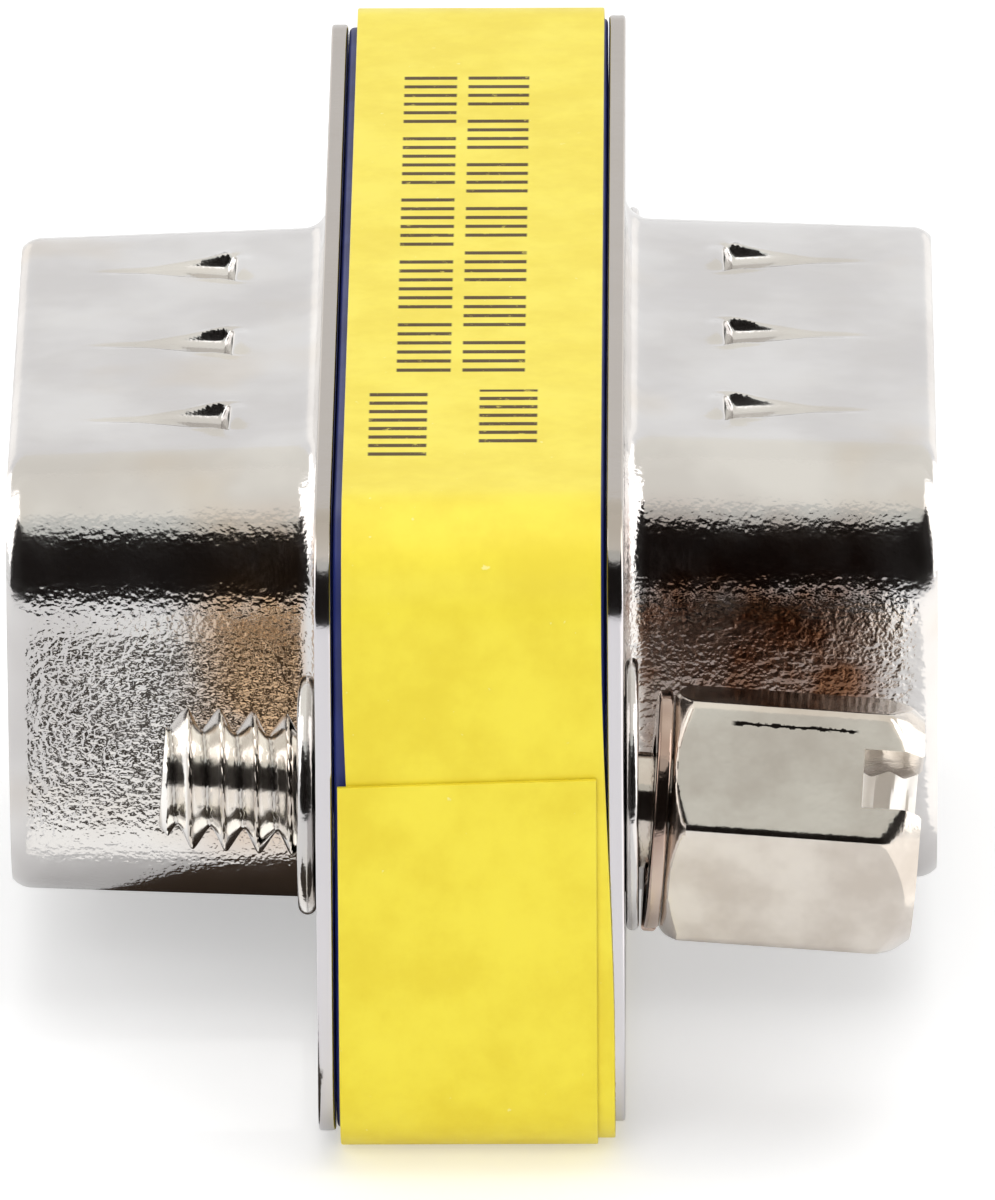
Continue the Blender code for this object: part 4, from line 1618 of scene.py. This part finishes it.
    def add_hole(self, rows: RowStack, a: Array) -> None:
        """Add the tapped hole, from its countersunk mouth down to its floor.

        Args:
            rows: where the rows go.
            a: angles round the axis.
        """
        mouth, low = self.mouth(), self.hex_start()
        high, floor = low + self.length, low + self.bore_floor
        rows.add(column((mouth, mouth - 0.02 * MM)), high - column((0.0, 0.03)) * MM)
        h = column(np.linspace(high - 0.14 * MM, floor, self.hole_rows))
        taper = mouth - (high - h) + 0 * a
        cut = self.bore + self.tap_depth * (1 - self.tooth(h, a))
        inside = -soft_least(-np.maximum(cut, self.bore), -taper, 0.03 * MM)
        rows.add(np.minimum(inside, mouth), h)
        rows.add(column((self.bore, self.bore * 0.6)), floor - column((0.02, 0.27)) * MM)

    def skin(self) -> Skin:
        """The whole screw on its axis: point = (r cos a, r sin a, h) for each row and angle.

        Returns:
            The closed skin.
        """
        a = self.angles()
        rows = RowStack(len(a))
        for add in (self.add_stud, self.add_post, self.add_hole):
            add(rows, a)
        r, h, groove = rows.whole()
        points = np.stack((r * np.cos(a), r * np.sin(a), h), -1)
        skin = capped_tube(points, {"groove": groove})
        skin.points[-2:] = [(0, 0, h[0, 0]), (0, 0, h[-1, 0] - 0.37 * MM)]
        return skin

    def slot(self) -> Skin:
        """The screwdriver slot as a bar with flared top edges, square to a pair of flats.

        Returns:
            The bar on the screw's axis, as six-cornered sections along its length.
        """
        high = self.hex_start() + self.length
        w, flare, rise = self.slot_width / 2, self.slot_flare, 0.2 * MM
        floor = high - self.slot_depth
        top, wide = high + rise, w + flare + rise
        section = np.array([(-w, floor), (w, floor), (w, high - flare), (wide, top),
                            (-wide, top), (-w, high - flare)])
        ends = [np.column_stack((np.full(6, x), section)) for x in (-self.flats, self.flats)]
        bar = capped_tube(np.stack(ends))
        return bar.moved(Matrix.Rotation(math.radians(self.hex_turn + 30), 4, "Z"))

    def scored_at(self) -> Matrix:
        """Place of the scored line on the upper flat, with X out of the flat and Z along it."""
        flat = Matrix.Rotation(math.radians(self.hex_turn + 210), 4, "Z")
        return self.axis() @ flat @ Matrix.Translation((self.flats / 2, *self.score_place))

    def grade_hole(self, mesh: Mesh) -> None:
        """Grade the tapped hole's faces, those near the axis and above the post's foot.

        Args:
            mesh: the screw's mesh, in place.
        """
        centres = np.empty(len(mesh.polygons) * 3)
        mesh.polygons.foreach_get("center", centres)
        own = np.array(self.axis().inverted())
        at = centres.reshape(-1, 3) @ own[:3, :3].T + own[:3, 3]
        hole = np.hypot(at[:, 0], at[:, 1]) < self.mouth()
        hole &= at[:, 2] > self.hex_start() + 0.001 * MM
        grade = mesh.attributes.new("tapped", "FLOAT", "FACE")
        grade.data.foreach_set("value", hole.astype(np.float32))

    def build(self, material: Material) -> None:
        """Make the screw, cut its slot and dress it.

        Args:
            material: its finish.
        """
        end = self.end.name.lower()
        body = self.skin().moved(self.axis()).outward().mesh(f"{end}_screw")
        mesh = carved(body, self.slot().moved(self.axis()).outward().mesh("slot", 5.0))
        self.grade_hole(mesh)
        add_piece(f"{end}_turned_screw", mesh, material, f"{end}_screw",
                  [f"{end}_jack_screw"])


@dataclass
class LockWasher(Fastener):
    """A split lock washer: a ring of nearly square wire, cut on a slant and sprung apart."""

    split: float = 0.30 * MM
    slant: float = 25.0
    turn: float = -30.0
    edge: float = 0.07 * MM

    def skin(self) -> Skin:
        """The washer as a section carried round its axis.

        Section: a rectangle with round corners, width by thickness. At angle a its height rises by
        the washer's rise over one turn. Both ends lean with the slant, so the angle at each end
        also grows with the height in the section.

        Returns:
            The closed skin, in place.
        """
        w, t, q = self.washer_width / 2, self.washer_thickness / 2, self.edge
        middle = self.washer_inner + w
        x, y = w - q, t - q
        corners = (((x, y), 0), ((-x, y), 90), ((-x, -y), 180), ((x, -y), 270))
        section = np.concatenate([arc(c, q, a, a + 90, 5) for c, a in corners])
        share = np.linspace(0, 1, 181)[:, None]
        gap = self.split / 2 / middle
        lean = section[:, 1] * math.tan(math.radians(self.slant)) / middle
        angle = (gap + share * (2 * np.pi - 2 * gap)) - lean[None, :]
        r = middle + section[:, 0] + 0 * share
        z = self.washer_start() + t + section[:, 1] + self.washer_rise * share
        rows = np.stack((r * np.cos(angle), r * np.sin(angle), z), -1)
        return capped_tube(rows).moved(Matrix.Rotation(math.radians(self.turn), 4, "Z"))

    def build(self, material: Material) -> None:
        """Make the washer and dress it.

        Args:
            material: its finish.
        """
        end = self.end.name.lower()
        mesh = self.skin().moved(self.axis()).outward().mesh(f"{end}_washer")
        add_piece(f"{end}_sprung_washer", mesh, material, f"{end}_washer",
                  [f"{end}_lock_washer"])


@dataclass
class Rivet:
    """A hollow rivet with a broad head on the right and a rolled lip on the left."""

    end: End
    layout: Layout = field(default_factory=Layout)
    bore: float = 1.65 * MM
    wall: float = 0.20 * MM
    lip_width: float = 0.43 * MM
    lip_thickness: float = 0.35 * MM
    head_width: float = 0.75 * MM
    head_thickness: float = 0.25 * MM
    head_edge: float = 0.10 * MM
    lip_edge: float = 0.12 * MM

    def profile(self) -> Array:
        """(radius, height) of the wall, its head and its lip, as a closed loop.

        Returns:
            The profile.
        """
        face = self.layout.flange_face + self.layout.seat
        outer = self.bore + self.wall
        head, lip = outer + self.head_width, outer + self.lip_width
        hr, lr = self.head_thickness / 2, self.lip_thickness / 2
        top, foot = face + self.head_thickness, -face - self.lip_thickness
        he, le = self.head_edge, self.lip_edge
        return np.concatenate((
            arc((self.bore + he, top - he), he, 180, 90, 5),
            arc((head - hr, face + hr), hr, 90, -90, 10),
            [(outer + 0.02 * MM, face), (outer, face - 0.02 * MM), (outer, -face)],
            arc((lip - lr, -face - lr), lr, 90, -90, 10),
            arc((self.bore + le, foot + le), le, 270, 180, 5),
        ))

    def build(self, material: Material) -> None:
        """Make the rivet and dress it.

        Args:
            material: its finish.
        """
        end = self.end.name.lower()
        place = along_x(self.end.value * self.layout.screw_offset, self.layout.middle())
        mesh = turned(self.profile(), 128, True).moved(place).outward().mesh(f"{end}_rivet")
        add_piece(f"{end}_hollow_rivet", mesh, material, "adapter",
                  [f"{end}_rivet"])


# ---- tape


@dataclass
class Tape:
    """One strip of tape wound a little over once, which slips sideways as it goes."""

    layout: Layout = field(default_factory=Layout)
    thickness: float = 0.10 * MM
    half_width: float = 2.45 * MM
    low_shift: float = 0.28 * MM
    top_shift: float = 0.05 * MM
    outer_shift: float = -0.05 * MM
    end_height: float = 0.665
    end_slant: float = 0.075 * MM
    start_height: float = 0.22
    proud: float = 0.03 * MM
    edge: float = 0.03 * MM
    step: float = 0.35 * MM
    turn_steps: int = 14

    def path(self) -> tuple[Array, Array, Array]:
        """The tape's inner face: down the far side, under, up the near side, over and on.

        Returns:
            Points (y, z), outward normals, and the strip's middle in X at each point.
        """
        d = self.layout
        inner = d.flange_corner + self.proud + d.seat
        outer = inner + self.thickness + d.seat
        y = d.flange_half_length - d.flange_corner
        reach = d.flange_half_width - d.flange_corner
        low, high = d.low_centre - reach, d.high_centre + reach
        start, end = (low + (high - low) * share for share in (self.start_height, self.end_height))
        under, over, last = self.low_shift, self.top_shift, self.outer_shift
        drop, n = start + self.thickness, self.turn_steps
        lift = drop + 6 * self.thickness
        stations = [
            (np.array([(y + inner, start)]), (1.0, 0.0), under),
            (arc((y, low), inner, 0, -90, n), (0, -90), under),
            (arc((-y, low), inner, -90, -180, n), (-90, -180), under),
            (arc((-y, high), inner, 180, 90, n), (180, 90), over),
            (arc((y, high), inner, 90, 0, n), (90, 0), over),
            (np.array([(y + inner, lift)]), (1.0, 0.0), over),
            (np.array([(y + outer, drop)]), (1.0, 0.0), last),
            (arc((y, low), outer, 0, -90, n), (0, -90), last),
            (arc((-y, low), outer, -90, -180, n), (-90, -180), last),
            (np.array([(-y - outer, end)]), (-1.0, 0.0), last),
        ]
        points, normals, middles = [], [], []
        for target, facing, middle in stations:
            turn = arc((0, 0), 1.0, *facing, n) if len(target) > 1 else np.array([facing])
            if points:
                before, was = points[-1][-1], middles[-1][-1]
                gap = float(np.linalg.norm(target[0] - before))
                share = np.linspace(0, 1, max(2, int(gap / self.step)) + 1)[1:-1]
                points.append(before + share[:, None] * (target[0] - before))
                normals.append(np.repeat(turn[:1], len(share), 0))
                middles.append(was + soft_step(share, 1.0) * (middle - was))
            points.append(target)
            normals.append(turn)
            middles.append(np.full(len(target), middle))
        return np.concatenate(points), np.concatenate(normals), np.concatenate(middles)

    def section(self) -> Array:
        """(across, out) points round the strip's section, its long edges a little rounded.

        Returns:
            The section's points, in order.
        """
        w, t, q = self.half_width, self.thickness, self.edge
        across = np.linspace(-w + q, w - q, 25)
        top = np.column_stack((across, np.full(25, t)))
        foot = np.column_stack((across[::-1], np.zeros(25)))
        right = arc((w - q, t - q), q, 90, 0, 3)[1:]
        left = arc((-w + q, t - q), q, 180, 90, 3)[:-1]
        return np.concatenate((top, right, [(w, 0)], foot, [(-w, 0)], left))

    def skin(self) -> Skin:
        """The strip: point = path + normal * out, with across laid along X from its middle.

        The end is cut on a slight slant. The UV holds the distance along the path and the place
        across it, in millimetres.

        Returns:
            The closed skin.
        """
        path, normal, middle = self.path()
        section = self.section()
        along = travelled(path)
        x = section[None, :, 0] + middle[:, None]
        yz = path[:, None, :] + normal[:, None, :] * section[None, :, 1, None]
        yz[-1, :, 1] += self.end_slant * section[:, 0] / self.half_width
        rows = np.concatenate((x[..., None], yz), -1)
        skin = capped_tube(rows)
        across = np.broadcast_to(section[None, :, 0], x.shape)
        uv = np.stack((np.broadcast_to(along[:, None], x.shape), across), -1).reshape(-1, 2) / MM
        ends = np.array([(along[0] / MM, 0.0), (along[-1] / MM, 0.0)])
        skin.uv = np.concatenate((uv, ends))
        return skin

    def length_to(self, y: float) -> float:
        """Distance along the path, in millimetres, to a place on the top face.

        Args:
            y: the place, in metres.

        Returns:
            The distance.
        """
        path, _, _ = self.path()
        along = travelled(path)
        top = path[:, 1] > self.layout.high_centre + 6 * MM
        return float(np.interp(y, path[top, 0], along[top]) / MM)

    def print_fields(self) -> tuple[PrintField, ...]:
        """Plain bars where the tape is printed, as one long field and two short ones.

        Returns:
            The fields.
        """

        def spot(y: tuple, x: tuple, pitch: float, bar: float, group: float) -> PrintField:
            """A field between two places in Y and two in X on the top face, in millimetres."""
            low, high = ((self.length_to(y[k] * MM), x[k]) for k in range(2))
            return PrintField(low, high, pitch, bar, group)

        return (spot((-7.6, 10.4), (-1.50, -0.42), 0.50, 0.42, 7.0),
                spot((-7.6, 10.4), (-0.24, 1.00), 0.50, 0.42, 5.0),
                spot((-11.4, -7.9), (0.10, 1.25), 0.46, 0.45, 99.0),
                spot((-12.1, -7.9), (-2.00, -0.85), 0.46, 0.45, 99.0))

    def build(self) -> None:
        """Make the tape and dress it."""
        material = VinylTape(fields=self.print_fields()).material("yellow_vinyl")
        mesh = self.skin().mesh("tape")
        add_piece("wound_tape", mesh, material, "adapter", ["label_tape"])


# ---- studio


def plane(name: str, corners: Sequence[tuple]) -> Mesh:
    """One flat face between corners.

    Args:
        name: the mesh's name.
        corners: the corners in order, as (x, y, z).

    Returns:
        The mesh.
    """
    mesh = bpy.data.meshes.new(name)
    mesh.from_pydata(list(corners), [], [tuple(range(len(corners)))])
    return mesh


def upright(start: tuple, end: tuple, low: float, high: float) -> list[tuple]:
    """Corners of an upright rectangle over the line between two (x, y) places."""
    return [(*start, low), (*end, low), (*end, high), (*start, high)]


def level(x: tuple, y: tuple, z: float) -> list[tuple]:
    """Corners of a level rectangle between two places in X and two in Y."""
    return [(x[0], y[0], z), (x[1], y[0], z), (x[1], y[1], z), (x[0], y[1], z)]


@dataclass
class Studio:
    """Camera, floor, lamps and what the bright plate reflects: a dark panel and plain cards."""

    target: tuple = (0.0, 0.0, 6.635 * MM)
    turn: float = 0.475
    elevation: float = 20.90
    distance: float = 520 * MM
    pixels_per_mm: float = 51.38
    roll: float = 0.329
    centre: tuple = (475.6, 561.0)
    frame_size: tuple = (995, 1200)
    sensor: float = 36.0
    floor_reach: float = 2.5
    floor_glow: tuple = (0.22, 0.17)
    fill: float = 0.55
    card_reach: float = 0.6
    panel_radius: float = 0.30
    panel_lift: float = 8 * MM
    cream: tuple = (1.0, 0.975, 0.90, 1.0)
    white: tuple = (1.0, 0.98, 0.95, 1.0)
    grey: tuple = (0.98, 1.0, 0.95, 1.0)

    def camera(self) -> None:
        """Stand the camera before the near end, a little above it, and turn it onto the target."""
        psi, e, rho = (math.radians(v) for v in (self.turn, self.elevation, self.roll))
        right = np.array((math.cos(psi), math.sin(psi), 0.0))
        away = np.array((-math.sin(psi), math.cos(psi), 0.0))
        up = away * math.sin(e) + np.array((0, 0, math.cos(e)))
        forward = away * math.cos(e) - np.array((0, 0, math.sin(e)))
        across = right * math.cos(rho) - up * math.sin(rho)
        upward = right * math.sin(rho) + up * math.cos(rho)
        dx = (self.frame_size[0] / 2 - self.centre[0]) / self.pixels_per_mm * MM
        dy = (self.frame_size[1] / 2 - self.centre[1]) / self.pixels_per_mm * MM
        place = np.array(self.target) - forward * self.distance + across * dx - upward * dy
        data = bpy.data.cameras.new("camera")
        data.sensor_width = self.sensor
        data.lens = self.sensor * self.pixels_per_mm * self.distance / MM / max(self.frame_size)
        data.clip_start, data.clip_end = 0.01, 10.0
        thing = show("camera", data)
        matrix = Matrix.Identity(4)
        for k, axis in enumerate((across, upward, -forward, place)):
            for row in range(3):
                matrix[row][k] = axis[row]
        thing.matrix_world = matrix
        bpy.context.scene.camera = thing

    def floor(self) -> None:
        """A pale floor that is white to the camera and keeps the adapter's shadow."""
        r = self.floor_reach
        mesh = plane("floor", level((-r, r), (-r, r), 0))
        thing = show("floor", mesh)
        thing.location.z = -0.01 * MM
        s = Shader("pale_floor")
        s.give("Base Color", (0.80, 0.80, 0.80, 1))
        s.give("Roughness", 0.6)
        s.give("Specular IOR Level", 0.2)
        s.give("Emission Color", (1, 1, 1, 1))
        seen = s.node("ShaderNodeLightPath").outputs["Is Camera Ray"]
        s.give("Emission Strength", s.math("MULTIPLY_ADD", seen, *self.floor_glow))
        mesh.materials.append(s.material)

    def card(self, name: str, mesh: Mesh, colour: tuple, glow: float) -> None:
        """Stand up a plain matt card that only reflections see.

        Args:
            name: the card's name.
            mesh: its shape.
            colour: the colour of its face or of its light.
            glow: strength of its light; 0 makes it a plain dark card.
        """
        s = Shader(name)
        s.give("Base Color", (0.01, 0.01, 0.01, 1) if glow else colour)
        s.give("Roughness", 1.0)
        s.give("Specular IOR Level", 0.0)
        s.give("Emission Color", colour)
        s.give("Emission Strength", glow)
        mesh.materials.append(s.material)
        thing = show(name, mesh)
        for part in ("camera", "diffuse", "shadow", "transmission"):
            setattr(thing, f"visible_{part}", False)

    def flat_card(self, name: str, corners: Sequence[tuple], colour: tuple, glow: float) -> None:
        """A card between corners."""
        self.card(name, plane(name, corners), colour, glow)

    def high_cards(self) -> None:
        """A cream card overhead, a grey one in front of it and bright ones round the back."""
        cream, white, w = self.cream, self.white, self.card_reach
        self.flat_card("back_card", upright((-w, 0.40), (w, 0.40), 0.20, w), cream, 0.98)
        self.flat_card("top_card", level((-w, w), (0.40, -0.19), w), cream, 1.02)
        self.flat_card("grey_card", level((-w, w), (-0.19, -0.36), w), self.grey, 0.78)
        for name, side, low in (("left", -1, 0.07), ("right", 1, 0.0)):
            x, inner, outer = side * 0.30, side * 0.09, side * 0.34
            self.flat_card(f"{name}_card", upright((x, -0.20), (x, 0.16), low, 0.58), white, 2.6)
            self.flat_card(f"{name}_far_card", upright((x, 0.17), (x, 0.42), 0.0, 0.20), white, 2.2)
            corner = upright((inner, 0.38), (outer, 0.30), 0.0, 0.08)
            self.flat_card(f"{name}_back_card", corner, white, 1.25)

    def table_cards(self) -> None:
        """Cards on the table that only reflections see: a bright one, and painted floor shadow and
        light.
        """
        side, z = level((13 * MM, 90 * MM), (-0.07, 0.03), 0.06 * MM), 0.05 * MM
        self.flat_card("bright_table_card", side, self.white, 1.5)
        # Painted shadow: a dark card before the left shell; painted light: a glowing card nearer to
        # it.
        x, y = (-9.6 * MM, -3.3 * MM), (-19.0 * MM, -13.0 * MM, -8.4 * MM)
        self.flat_card("front_table_card", level(x, y[:2], z), (0.06, 0.05, 0.042, 1.0), 0.0)
        self.flat_card("close_table_card", level(x, y[1:], 0.03 * MM), (1.0, 0.99, 0.96, 1.0), 1.2)
        # Painted shadow: a dark oval card under the adapter, left of its middle.
        a = np.radians(np.arange(0, 360, 10))
        x, y = -2.9 * MM + 4.6 * MM * np.cos(a), -1.0 * MM + 8 * MM * np.sin(a)
        corners = np.stack((x, y, 0 * a + z), -1)
        self.flat_card("under_card", corners.tolist(), (0.10, 0.07, 0.05, 1.0), 0.0)

    def world(self) -> None:
        """A white surround for the camera and for reflections, and soft fill for the rest."""
        world = bpy.data.worlds.new("studio")
        bpy.context.scene.world = world
        world.use_nodes = True
        tree = world.node_tree
        tree.nodes.clear()
        path = tree.nodes.new("ShaderNodeLightPath")
        seen = path.outputs["Is Camera Ray"]
        for ray in ("Is Glossy Ray", "Is Transmission Ray"):
            either = tree.nodes.new("ShaderNodeMath")
            either.operation = "MAXIMUM"
            tree.links.new(seen, either.inputs[0])
            tree.links.new(path.outputs[ray], either.inputs[1])
            seen = either.outputs[0]
        mix = tree.nodes.new("ShaderNodeMixShader")
        tree.links.new(seen, mix.inputs[0])
        for socket, strength in ((mix.inputs[1], self.fill), (mix.inputs[2], 1.0)):
            light = tree.nodes.new("ShaderNodeBackground")
            light.inputs["Color"].default_value = (1, 1, 1, 1)
            light.inputs["Strength"].default_value = strength
            tree.links.new(light.outputs[0], socket)
        out = tree.nodes.new("ShaderNodeOutputWorld")
        tree.links.new(mix.outputs[0], out.inputs[0])

    def lamp(self, name: str, place: tuple, aim: tuple, size: float, power: float) -> None:
        """A square soft lamp at a place, turned to an aim.

        Args:
            name: the lamp's name.
            place: where it stands.
            aim: what it faces.
            size: its side.
            power: its power in watts.
        """
        data = bpy.data.lights.new(name, "AREA")
        data.shape = "SQUARE"
        data.size = size
        data.energy = power
        thing = show(name, data)
        thing.location = place
        back = Vector(place) - Vector(aim)
        thing.rotation_mode = "QUATERNION"
        thing.rotation_quaternion = back.to_track_quat("Z", "Y")
        thing.visible_glossy = False

    def panel(self) -> None:
        """A dark curved panel round the camera's side, seen only in reflections.

        Point: radius * (cos(b) sin(a), -cos(b) cos(a), sin(b)) for bearing a and elevation b,
        lifted a little.
        """
        a = np.radians(np.linspace(-75, 75, 49))
        b = np.radians(np.linspace(-1.0, 57.0, 25))[:, None]
        x, y, z = np.cos(b) * np.sin(a), -np.cos(b) * np.cos(a), np.sin(b)
        rows = np.stack(np.broadcast_arrays(x, y, z), -1) * self.panel_radius
        rows[..., 2] += self.panel_lift
        skin = Skin(rows.reshape(-1, 3), grid_faces(len(b), len(a), False, False))
        self.card("dark_panel", skin.mesh("panel"), (0.012, 0.010, 0.009, 1), 0.0)

    def build(self) -> None:
        """Set up the whole studio."""
        bpy.context.scene.view_settings.view_transform = "Standard"
        self.camera()
        self.floor()
        self.world()
        self.panel()
        self.high_cards()
        self.table_cards()
        self.lamp("key", (0.05, 0.05, 0.55), (0, 0, 0), 0.5, 1.5)
        self.lamp("front", (-0.15, -0.55, 0.35), (0, 0, 0), 0.35, 1.2)


def main() -> None:
    """Dress the adapter piece by piece."""
    logging.basicConfig(level=logging.INFO, format="%(name)s %(message)s")
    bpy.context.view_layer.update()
    formed = PlatedSteel().material("plated_sheet", graded=True)
    plate = PlatedSteel(peel_depth=0.006 * MM).material("plated_ring", graded=False)
    spring = PlatedSteel(light=srgb(204, 186, 174), dull=srgb(166, 142, 130), peel_depth=0.006 * MM)
    sprung = spring.material("plated_spring", graded=False)
    screw = ScrewSteel().material("nickelled_screw", JackScrew(End.NEAR).scored_at())
    gold = GoldPlate().material("gold_flash")
    blue = MouldedPlastic(srgb(30, 44, 120), srgb(22, 32, 96)).material("blue_moulding")
    for half in Half:
        Shell(half).build(formed)
        Insulator(half).build(blue)
        Contacts(half).build(gold)
    Board().build(SolderMask().material("green_mask"))
    for end in End:
        Rivet(end).build(plate)
        LockWasher(end).build(sprung)
        JackScrew(end).build(screw)
    Tape().build()
    Studio().build()


if __name__ == "__main__":
    main()
